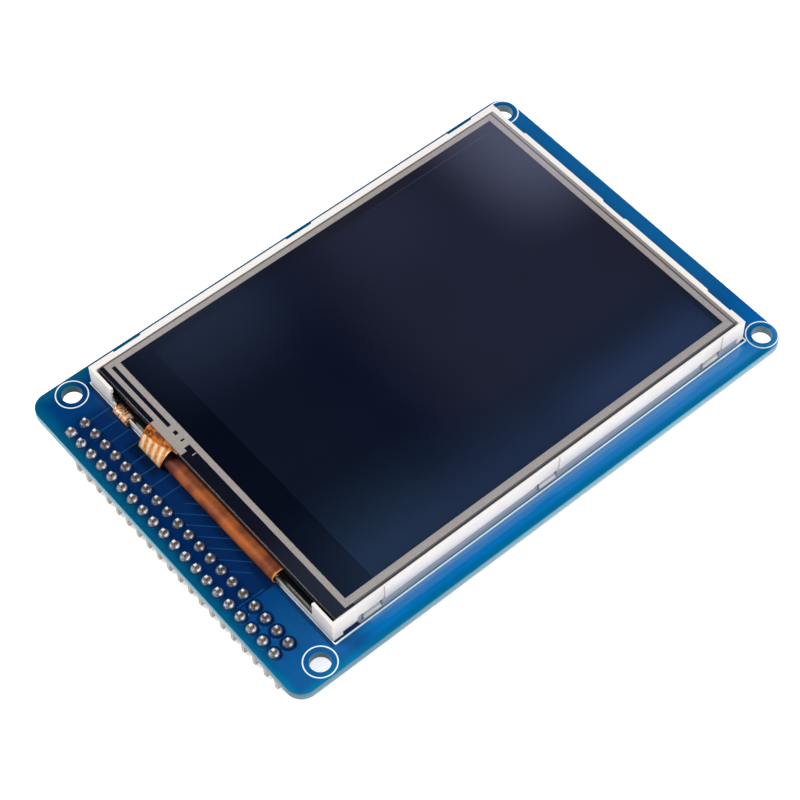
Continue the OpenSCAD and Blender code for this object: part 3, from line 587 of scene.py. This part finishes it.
# %% [markdown]
# ## The screen's layers
# Under the clear touch film lie a printed silver line, a dark adhesive ring, a glass plate and
# then the display. An unlit screen mirrors the bright room as soft lighter fields. Small lamps for
# it to mirror would give them too, but with grain, because few rays meet a clear film. Here these
# reflections are painted: pale fields in the film's colour, which a low alpha lets through.

# %% Touch film
FILM_EDGE = (6.05, 6.2)
GLOW_SOFT = (10.0, 9.0)
# Each row of painted reflection: span along x, span along y, colour
PAINTED_GLOWS = (
    ((-60.0, 20.0), (-4.0, 60.0), (60, 63, 87)),
    ((-60.0, -17.0), (-33.0, -9.0), (60, 72, 104)),
    ((18.0, 60.0), (-38.0, 60.0), (53, 73, 106)),
    ((-60.0, -8.5), (29.5, 60.0), (140, 147, 183)),
)

film_clear, wire, spot, x, y, z = start_finish("clear_touch_film")
haze = noise(spot, 0.08, 3.0)
# Painted highlight: the film's cut edge is light grey and nearly opaque.
film_edge = span(z, *FILM_EDGE, 0.004)
film_tone = blend(haze, tone(14, 22, 46), tone(20, 30, 58))
for (x0, x1), (y0, y1), colour in PAINTED_GLOWS:
    field = span(x, x0, x1, GLOW_SOFT[0]) * span(y, y0, y1, GLOW_SOFT[1])
    film_tone = blend(field, film_tone, tone(*colour))
touch_film_finish = end_finish(film_clear, wire, {
    "Base Color": blend(film_edge, film_tone, tone(186, 186, 186)),
    "Roughness": 0.1 + 0.1 * haze, "Alpha": 0.16 + 0.76 * film_edge, "IOR": 1.5}, haze, 0.002)

# %% [markdown]
# ### Touch glass
# The plate under the film is clear too, and its cut edge carries a painted grey highlight along
# the top and is dark below. A real refracting glass would bend the shadows of the print and need
# many bounces of light. A low alpha keeps lamps and shadows working on what lies below.

# %% Touch glass
GLASS_EDGE = (4.8, 5.88)
glass_clear, wire, spot, x, y, z = start_finish("clear_touch_glass")
haze = noise(spot, 0.05, 3.0)
glass_edge = span(z, *GLASS_EDGE, 0.004)
glass_tone = blend(haze, tone(8, 12, 16), tone(14, 20, 24))
# Painted highlight along the top of the cut edge.
glass_edge_glint = blend(smooth(z, 5.55, 5.75), tone(14, 15, 18), tone(96, 98, 104))
touch_glass_finish = end_finish(glass_clear, wire, {
    "Base Color": blend(glass_edge, glass_tone, glass_edge_glint),
    "Roughness": 0.1 + 0.06 * haze + 0.3 * glass_edge, "Alpha": 0.1 + 0.84 * glass_edge,
    "Specular IOR Level": 0.1}, haze, 0.001)

# %% [markdown]
# ### The display's dark face
# The polarizer gives the screen its blue black. The live area is a shade lighter than the black
# band at the pin end, and a thin line along the left is the edge of the colour filter. Slow masks
# paint reflections of the bright room on the face: lighter towards the right, the near end and the
# middle of the left side.

# %% Polarizer and display glass
LIVE_FROM = -29.85
FILTER_EDGE = -25.92
screen_dark, wire, spot, x, y, z = start_finish("dark_polarizer")
cloud = smooth(noise(spot, 0.05, 2.0), 0.3, 0.7)
live = smooth(y, LIVE_FROM - 0.04, LIVE_FROM + 0.04)
# Painted reflections of the room: lighter towards the near end, the right and the left middle.
near_light = 1 - smooth(y, -22.0, -2.0)
right_light = smooth(x, 6.0, 24.0) * (1 - smooth(y, -24.0, -9.0))
right_edge_glow = smooth(x, 15.0, 26.5) * (0.35 + 0.65 * smooth(y, 4.0, 20.0))
live_tone = blend(cloud, tone(5, 12, 32), tone(11, 19, 44))
live_tone = blend(near_light, live_tone, tone(19, 28, 43))
live_tone = blend(right_light, live_tone, tone(28, 50, 70))
live_tone = blend(right_edge_glow, live_tone, tone(52, 70, 116))
left_middle_glow = (1 - smooth(x, -24.0, -8.0)) * span(y, 6.0, 18.0, 8.0)
live_tone = blend(left_middle_glow, live_tone, tone(34, 40, 63))
filter_edge = line(x, FILTER_EDGE, 0.06, 0.06) * smooth(y, 8.0, 22.0)
live_tone = blend(filter_edge * 0.8, live_tone, tone(88, 96, 118))
screen_tone = blend(1 - live, live_tone, blend(cloud, tone(1, 2, 5), tone(2, 4, 8)))
polarizer_finish = end_finish(screen_dark, wire, {
    "Base Color": screen_tone, "Roughness": 0.3 + 0.06 * cloud,
    "Specular IOR Level": 0.05}, cloud, 0.002)

glass_dark, wire, spot, x, y, z = start_finish("dark_display_glass")
cloud = noise(spot, 0.4, 3.0)
display_glass_finish = end_finish(glass_dark, wire, {
    "Base Color": blend(cloud, tone(4, 5, 8), tone(9, 11, 15)),
    "Roughness": 0.2 + 0.1 * cloud, "Specular IOR Level": 0.15}, cloud, 0.002)

# %% [markdown]
# ### Silver print
# The lines round the screen are silver paste, printed through a mesh, so they are grainy and only
# half metal. Fine noise gives the grain, and a slow cloud the paler stretches.

# %% Silver print
print_silver, wire, spot, x, y, z = start_finish("silver_print")
grain = noise(spot, 11.0, 4.0)
slow = noise(spot, 0.3, 2.0)
silver_tone = blend(smooth(grain, 0.3, 0.7), tone(190, 180, 172), tone(234, 223, 214))
silver_finish = end_finish(print_silver, wire, {
    "Base Color": blend(slow * 0.5, silver_tone, tone(218, 209, 203)),
    "Metallic": 0.25, "Roughness": 0.42 + 0.2 * grain}, grain, 0.012)

# %% [markdown]
# ### Dark adhesive
# A black ring of adhesive holds film and glass together. At the far end and along the right the
# light frame shines through its outer edge. That glow is painted as two narrow bands of x and y,
# since the ring is too thin to scatter light well.

# %% Dark adhesive
glue_dark, wire, spot, x, y, z = start_finish("dark_adhesive")
grain = noise(spot, 3.0, 3.0)
glue_tone = blend(grain, tone(4, 5, 8), tone(10, 11, 15))
# Painted sheen: the near side of the ring is lighter towards the right.
glue_tone = blend(smooth(x, 8.0, 20.0) * (y < -30), glue_tone, tone(38, 39, 44))
far_band = smooth(y, 38.5, 38.56)
far_tone = blend(smooth(y, 38.58, 38.9), tone(132, 124, 118), tone(222, 214, 208))
glue_tone = blend(far_band, glue_tone, blend(grain * 0.2, far_tone, tone(176, 166, 160)))
right_band = smooth(x, 27.1, 27.2) * (1 - smooth(x, 27.42, 27.56)) * (y > -35)
glue_tone = blend(right_band, glue_tone, tone(124, 119, 116))
adhesive_finish = end_finish(glue_dark, wire, {
    "Base Color": glue_tone, "Roughness": 0.35 + 0.2 * grain,
    "Specular IOR Level": 0.15}, grain, 0.005)

# %% [markdown]
# ## Films inside the backlight
# Behind the display lie a white reflector, a clear light guide with dots on its back, and sheets
# that spread and steer the light. They are seen only at the edges, so each has a close pattern of
# its own scale and nothing more: dots for the guide, fine ridges for the prism sheets, haze for
# the rest.

# %% Backlight films
def film(name, low, high, gloss, pattern):
    """A sheet: two tones through a pattern, which also moves its gloss."""
    material, wire, spot, x, y, z = start_finish(name)
    grain = {"haze": lambda: noise(spot, 2.0, 3.0),
             "dots": lambda: 1 - smooth(radius(wave(x, 0.0, 0.8), wave(y, 0.0, 0.8)), 0.12, 0.2),
             "ridges": lambda: smooth(wave(x, 0.0, 0.2), 0.0, 0.1)}[pattern]()
    return end_finish(material, wire, {
        "Base Color": blend(grain, tone(*low), tone(*high)),
        "Roughness": gloss + 0.12 * grain}, grain, 0.004)


white_film = film("white_film", (232, 232, 230), (246, 246, 245), 0.5, "haze")
guide_film = film("clear_guide", (214, 220, 220), (240, 244, 244), 0.08, "dots")
prism_film = film("prism_film", (206, 212, 214), (232, 236, 238), 0.14, "ridges")
lamp_film = film("lamp_package", (238, 226, 150), (248, 244, 226), 0.4, "haze")
foam_tape = film("white_foam_tape", (222, 220, 212), (238, 236, 230), 0.7, "haze")

# %% [markdown]
# ## Cables of film
# The flat cables are copper tracks between amber films. On the broad one the tracks are too fine
# to see and only tint it brown. On the touch tail and the backlight tail a few broad tracks show
# pale through the amber, with painted highlights on them where the film turns to the light.
# Stripes that follow x do both, because no cable turns sideways.

# %% Film of the touch tail
tail_film, wire, spot, x, y, z = start_finish("touch_tail_film")
slow = noise(spot, 1.1, 4.0)
crest = z - 0.18 * (x + 12.8) + 1.0 * (slow - 0.5)
# Painted light: the falling face, turned to the lamps, is warmer and brighter than the head.
face = (1 - smooth(crest, 4.9, 5.3)) * smooth(z, 1.9, 2.5)
speck = noise(spot, 2.6, 3.0)
stripe = (1 - smooth(wave(x, -14.55, 1.28) + 0.4 * (speck - 0.5), 0.08, 0.5)) * face
amber = blend(smooth(slow + 0.3 * (speck - 0.5), 0.4, 0.62), tone(98, 40, 4), tone(206, 112, 26))
warm = blend(smooth(speck, 0.36, 0.66), tone(210, 116, 42), tone(255, 190, 106))
amber = blend(face * 0.9, amber, warm)
# Painted highlight: the tracks on the face are nearly white.
bright = blend(smooth(speck, 0.4, 0.62), tone(255, 212, 162), tone(255, 240, 208))
# Painted shade under the lower turn; the left edge is darker too.
shade_under = (1 - smooth(z + 0.8 * (speck - 0.5), 1.7, 3.1)) * 0.7
edge = 1 - smooth(x, -15.25, -14.95)
touch_cable = end_finish(tail_film, wire, {
    "Base Color": blend(most(shade_under, edge * 0.5), blend(stripe, amber, bright),
                        tone(92, 46, 14)),
    "Metallic": 0.25 - 0.2 * face, "Roughness": 0.48 + 0.2 * slow,
    "Specular IOR Level": 0.25}, stripe * 0.6 + slow, 0.05)

# %% [markdown]
# ### Film of the backlight tail
# The small tail of the backlight is creased, so it flashes from brown to nearly white over a
# millimetre. Modelled folds would be finer than its mesh, so the creases are stretched noise that
# drives both the colour and a bump: painted glints turn their crests nearly white, and the tracks
# show pale only where the creases catch the light. The rest of the strip, inside the frame, is
# painted near black as shade.

# %% Film of the backlight tail
lamp_film_tail, wire, spot, x, y, z = start_finish("backlight_tail_film")
slow = noise(spot, 1.3, 4.0)
crease = noise(spot, 2.8, 3.0, (1, 0.5, 0.8))
bend = x + 0.5 * slow
# Painted highlight: the tracks show pale only where the creases catch the light.
stripe = (1 - smooth(wave(bend, -21.6, 0.92), 0.2, 0.34)) * smooth(crease, 0.36, 0.5)
gold = blend(smooth(slow, 0.38, 0.6), tone(120, 62, 20), tone(240, 164, 100))
gold = blend(stripe * 0.7, gold, tone(250, 214, 186))
# Painted glints: the crests of the creases turn nearly white.
gold = blend(smooth(crease, 0.56, 0.64), gold, tone(255, 244, 234))
# Painted shade: the strip inside the frame, outside this span, is near black.
outside = span(x, -22.7, -19.2)
lamp_cable = end_finish(lamp_film_tail, wire, {
    "Base Color": blend(outside, tone(20, 16, 14), gold), "Metallic": 0.35,
    "Roughness": 0.36 + 0.2 * slow}, crease + 0.5 * stripe, 0.08)

# %% [markdown]
# ### Film of the broad cable
# The broad cable is red brown with slow lighter patches and pale at its cut right edge. Painted
# shade darkens the lower half of its turn, where it goes under the frame, and its left end beside
# the touch tail. Its many tracks lie a third of a millimetre apart, so they only dim it in fine
# stripes along x.

# %% Film of the broad cable
ribbon_film, wire, spot, x, y, z = start_finish("amber_display_cable")
patch = noise(spot, 0.2, 4.0, (1, 0.6, 0.6))
fine = smooth(wave(x, 0.0, 0.36), 0.05, 0.13)
amber = blend(smooth(patch, 0.36, 0.62), tone(112, 52, 36), tone(190, 102, 42))
amber = blend(fine * 0.15, amber, tone(86, 38, 18))
# Painted shade: the lower half of the turn is dark.
amber = blend((1 - smooth(z, 2.1, 3.2)) * 0.9, amber, tone(36, 22, 22))
# Painted shade: the left end beside the touch tail is darker.
amber = blend((1 - smooth(x, -9.8, -7.6)) * 0.6, amber, tone(70, 32, 20))
ends = smooth(x, 15.3, 15.6)
display_cable = end_finish(ribbon_film, wire, {
    "Base Color": blend(ends, amber, tone(226, 150, 50)), "Metallic": 0.2,
    "Roughness": 0.52 + 0.14 * patch, "Specular IOR Level": 0.3}, fine * 0.4 + patch, 0.02)

# %% [markdown]
# ## Small parts on the back
# Ceramic capacitors are tan and resistors dark, and both have tinned ends. The ends are found
# from the place along y, where neighbours stand two millimetres apart, so one finish serves them
# all.

# %% Chip component finishes
def end_capped(name, middle, left_shift, half, low, high):
    """A small part whose ends are tinned past half from its middle along y. Parts on the left
    have their middle shifted."""
    material, wire, spot, x, y, z = start_finish(name)
    grain = noise(spot, 4.0, 3.0)
    cap = smooth(wave(y + left_shift * (x < 0), middle, 2.0), half, half + 0.04)
    body = blend(grain, tone(*low), tone(*high))
    return end_finish(material, wire, {
        "Base Color": blend(cap, body, tone(206, 204, 200)), "Metallic": cap,
        "Roughness": 0.34 + 0.2 * grain}, grain, 0.006)


capacitor_finish = end_capped("tan_ceramic", -24.0, 1.0, 0.65, (150, 116, 82), (178, 142, 104))
resistor_finish = end_capped("dark_film_resistor", -37.0, 0.0, 0.52, (22, 22, 24), (40, 40, 42))

# %% [markdown]
# ## Finishes on the solids
# A solid whose shape is right keeps its own mesh and only takes a new material. The table below
# names the finish of each one.

# %% Give every solid its finish
FINISH = {
    "circuit_board": blue_lacquer, "header_base": black_moulding, "socket_base": black_moulding,
    "header_pins": pin_finish, "socket_contacts": gilt_contact, "solder_joints": solder,
    "tape_strips": foam_tape, "backlight_tray": tray_steel, "socket_shell": rolled_steel,
    "reflector_sheet": white_film, "diffuser_sheet": white_film, "light_guide": guide_film,
    "lower_prism_sheet": prism_film, "upper_prism_sheet": prism_film, "led_strip": lamp_cable,
    "touch_tail": touch_cable, "backlight_leds": lamp_film, "mould_frame": white_moulding,
    "rear_polarizer": polarizer_finish, "front_polarizer": polarizer_finish,
    "array_glass": display_glass_finish, "filter_glass": display_glass_finish,
    "touch_glass": touch_glass_finish, "driver_chip": chip_moulding, "touch_chip": chip_moulding,
    "regulator": chip_moulding, "display_flex": display_cable, "touch_gasket": adhesive_finish,
    "touch_ring": adhesive_finish, "silver_border": silver_finish, "touch_film": touch_film_finish,
    "touch_chip_leads": tinned_lead, "regulator_leads": tinned_lead,
    "capacitors": capacitor_finish, "resistors": resistor_finish,
}
for name, solid in nodes.items():
    solid.data.materials.clear()
    solid.data.materials.append(FINISH[name])
print("solids with a finish:", len(FINISH), "of", len(nodes))

# %% [markdown]
# ## Softened solids
# No moulded or pressed part has a perfectly sharp edge, and the thin bright line along an edge is
# what makes it look real. A copy of the solid is merged, its flat faces are joined, and a small
# bevel rounds its edges. The copy then stands for the solid.

# %% Softened copies
SHARP = np.radians(35.0)
SOFTENED = (
    ("circuit_board", "board_plate", 0.05, "blue_mask"),
    ("mould_frame", "frame_moulding", 0.07, "white_frame"),
    ("backlight_tray", "tray_pressing", 0.04, "tray_steel"),
    ("header_base", "pin_strip", 0.08, "black_plastic"),
    ("socket_base", "socket_body", 0.06, "black_plastic"),
    ("socket_shell", "socket_cover", 0.05, "tray_steel"),
    ("touch_chip", "touch_chip_body", 0.05, "chip_body"),
    ("regulator", "regulator_body", 0.08, "chip_body"),
)


def softened(node, name, width, slot):
    """A merged copy of a solid with its flat faces joined and its edges rounded by width mm."""
    mesh = nodes[node].data.copy()
    mesh.name = name
    work = bmesh.new()
    work.from_mesh(mesh)
    bmesh.ops.remove_doubles(work, verts=work.verts, dist=1e-7)
    bmesh.ops.dissolve_limit(work, angle_limit=np.radians(1.0), verts=work.verts,
                             edges=work.edges)
    work.to_mesh(mesh)
    work.free()
    mesh.set_sharp_from_angle(angle=SHARP)
    piece = bpy.data.objects.new(name, mesh)
    bpy.context.scene.collection.objects.link(piece)
    edge = piece.modifiers.new("soft_edge", "BEVEL")
    edge.width = width * MM
    edge.segments = 2
    edge.limit_method = "ANGLE"
    edge.angle_limit = SHARP
    edge.harden_normals = True
    mesh.polygons.foreach_set("use_smooth", np.ones(len(mesh.polygons), bool))
    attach(piece, "root")
    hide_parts(node)
    print("softened", name, "faces:", len(mesh.polygons))
    return piece


for row in SOFTENED:
    softened(*row)

# %% [markdown]
# ## A surface from a grid
# The next pieces are surfaces worked out with numpy. A grid of points goes in, with one axis
# round the section and one along the path, and neighbouring points become four-sided faces.

# %% Mesh from arrays
def surface(name, points, material):
    """A closed tube from an array [copy, along, round, xyz] in mm, with flat ends."""
    copies, along, around, _ = points.shape
    number = np.arange(copies * along * around).reshape(copies, along, around)
    a, b = number[:, :-1], number[:, 1:]
    quads = np.stack([a, np.roll(a, -1, 2), np.roll(b, -1, 2), b], -1).reshape(-1, 4)
    ends = np.concatenate([number[:, 0, ::-1], number[:, -1]])
    mesh = bpy.data.meshes.new(name)
    mesh.from_pydata((points.reshape(-1, 3) * MM).tolist(), [], quads.tolist() + ends.tolist())
    mesh.polygons.foreach_set("use_smooth", np.ones(len(mesh.polygons), bool))
    mesh.set_sharp_from_angle(angle=SHARP)
    mesh.materials.append(material)
    piece = bpy.data.objects.new(name, mesh)
    bpy.context.scene.collection.objects.link(piece)
    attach(piece, "root")
    print("surface", name, "faces:", len(mesh.polygons))
    return piece


print("surfaces are smooth up to", round(float(np.degrees(SHARP))), "degrees")

# %% [markdown]
# ## Solder joints
# Molten solder stands on each pad as a round bead and creeps up the pin in a hollow curve. The
# pad under pin one is square, which marks the start of the row. A cone would do from afar, but a
# turned bead catches each lamp as a bright crescent. All forty joints are one array.

# %% Solder beads
JOINT_FOOT = 0.84
PIN_HALF = 0.32
BEAD_HEIGHT = 0.5
CREEP_HEIGHT = 0.42
ROUND_STEPS = 28
JOINT_STEPS = 16


def solder_beads():
    """Turned profile: with u falling from 1 at the foot to 0 at the pin, the height is a bead, the
    root of one minus u to the power 2.4, plus the creep, which decays with u. The foot of pin one
    is stretched from a circle towards a square."""
    rng = np.random.default_rng(7)
    k, row = np.meshgrid(np.arange(20), np.array(PIN_ROWS), indexing="ij")
    centre = np.stack([PIN_X0 + PIN_PITCH * k, row], -1).reshape(-1, 1, 1, 2)
    count = len(centre)
    grow = 1 + 0.05 * rng.standard_normal((count, 1, 1))
    t = np.linspace(0, 1, JOINT_STEPS)[None, :, None]
    angle = np.linspace(0, 2 * np.pi, ROUND_STEPS, endpoint=False)[None, None, :]
    u = np.cos(0.5 * np.pi * t)
    r = PIN_HALF + (JOINT_FOOT - PIN_HALF) * u
    rise = BEAD_HEIGHT * np.sqrt(1 - u ** 2.4) + CREEP_HEIGHT * np.exp(-5 * u) * (1 - u)
    square = 1 / np.maximum(abs(np.cos(angle)), abs(np.sin(angle)))
    first = (np.arange(count) == 0)[:, None, None]
    r = r * np.where(first, 1 + (square - 1) * (1 - t) ** 2 * 0.9, 1.0) + 0.02
    z = BOARD_TOP + rise * np.clip(grow, 0.9, 1.06) + 0 * angle
    xy = centre + r[..., None] * np.stack(np.broadcast_arrays(np.cos(angle), np.sin(angle)), -1)
    return np.concatenate([xy, np.broadcast_to(z, xy.shape[:3])[..., None]], -1)


beads = surface("solder_beads", solder_beads(), solder)
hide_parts("solder_joints")

# %% [markdown]
# ## Flat cables
# Each cable is a thin strip that leaves the panel, turns over its edge and goes under it, flat on
# the board. A plane with a Bend modifier would do for one turn. A flat profile carried along a
# path of straight runs and arcs takes any number of turns, and its thickness stays that of the
# film.

# %% Cable path and section
FILM = 0.1


def arc(centre, r, start, stop, steps=18):
    """Points on an arc in the plane of y and z, angles in degrees from +y towards +z."""
    a = np.radians(np.linspace(start, stop, steps))
    return np.stack([centre[0] + r * np.cos(a), centre[1] + r * np.sin(a)], -1)


def cable(path, x0, x1, bow, steps=40):
    """Flat section carried along a path in y and z: each point of the path gives an outer and an
    inner line from x0 to x1, half a film to either side, and the bow pushes both along -y
    mid-way."""
    run = np.gradient(path, axis=0)
    run /= np.linalg.norm(run, axis=1)[:, None]
    side = np.stack([run[:, 1], -run[:, 0]], -1) * FILM / 2
    share = np.linspace(0, 1, steps)
    share = np.concatenate([share, share[::-1]])[None, :]
    lean = np.concatenate([np.ones(steps), -np.ones(steps)])
    yz = path[:, None, :] + lean[None, :, None] * side[:, None, :]
    free = np.clip((path[:, 0].max() - path[:, 0]) / np.ptp(path[:, 0]), 0, 1)[:, None] ** 3
    yz[..., 0] -= bow * 4 * share * (1 - share) * free
    x0 = np.broadcast_to(x0, len(path))[:, None]
    x1 = np.broadcast_to(x1, len(path))[:, None]
    return np.concatenate([(x0 + (x1 - x0) * share)[..., None], yz], -1)[None]


print("cable film in mm:", FILM)

# %% [markdown]
# ### The broad display cable
# The broad cable leaves the glass, turns once through half a circle and ends under the tray. Its
# left edge laps a little further out in the turn, and between its ends it springs outwards by a
# tenth of a millimetre, as film does when it is bent.

# %% The broad display cable
RIBBON_X = (-10.1, 15.7)
RIBBON_TURN = (-39.15, 2.77)
RIBBON_RADIUS = 1.12
RIBBON_LAP = -12.6
RIBBON_BOW = 0.1
ribbon_path = np.concatenate([
    np.stack([np.linspace(-37.8, -39.1, 6), np.full(6, RIBBON_TURN[1] + RIBBON_RADIUS)], -1),
    arc(RIBBON_TURN, RIBBON_RADIUS, 90, 270, 26),
    np.stack([np.linspace(-39.1, -34.6, 8), np.full(8, RIBBON_TURN[1] - RIBBON_RADIUS)], -1)])
lap = np.zeros(len(ribbon_path))
lap[6:26] = np.sin(np.linspace(0.3, np.pi, 20)) ** 0.5
ribbon_x0 = RIBBON_X[0] + (RIBBON_LAP - RIBBON_X[0]) * lap
ribbon = surface("display_ribbon", cable(ribbon_path, ribbon_x0, RIBBON_X[1], RIBBON_BOW),
                 display_cable)
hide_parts("display_flex")

# %% [markdown]
# ### The touch tail
# The touch tail leaves the film with a wide head, narrows to a neck and falls in a slant to the
# board, where it turns under the tray. An arc would hug the frame too closely, so the fall is a
# smooth curve pulled by four corners.

# %% The touch tail
TAIL_X = (-15.3, -10.4)
TAIL_HEAD = (-15.0, -8.3)
TAIL_NECK = -9.15
TAIL_TOP = 5.94
TAIL_TURN = (-40.38, 2.2)
TAIL_RADIUS = 0.55
HEAD_STEPS = 5
FALL = ((-38.7, TAIL_TOP), (-39.4, TAIL_TOP), (-40.52, 3.79), (-40.91, 2.34))


def sweep(corners, steps):
    """Points on a smooth curve pulled by four corners, with the weights (1-t)^3, 3t(1-t)^2,
    3t^2(1-t) and t^3."""
    t = np.linspace(0, 1, steps)
    weight = np.stack([(1 - t) ** 3, 3 * t * (1 - t) ** 2, 3 * t ** 2 * (1 - t), t ** 3], -1)
    return weight @ np.array(corners)


tail_path = np.concatenate([
    np.stack([np.linspace(-37.2, -38.66, HEAD_STEPS), np.full(HEAD_STEPS, TAIL_TOP)], -1),
    sweep(FALL, 32),
    arc(TAIL_TURN, TAIL_RADIUS, 170, 270, 10),
    np.stack([np.linspace(-40.3, -34.6, 6), np.full(6, TAIL_TURN[1] - TAIL_RADIUS)], -1)])
gone = np.clip((np.arange(len(tail_path)) - HEAD_STEPS) / 36, 0, 1)
tail_x0 = TAIL_HEAD[0] + (TAIL_X[0] - TAIL_HEAD[0]) * gone
tail_x1 = TAIL_NECK + (TAIL_X[1] + 0.1 - TAIL_NECK) * gone
tail_x1 = np.where(tail_path[:, 0] > -38.9, np.where(gone < 0.5, TAIL_HEAD[1], tail_x1), tail_x1)
tail = surface("touch_ribbon", cable(tail_path, tail_x0, tail_x1, 0.0, 24), touch_cable)
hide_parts("touch_tail")
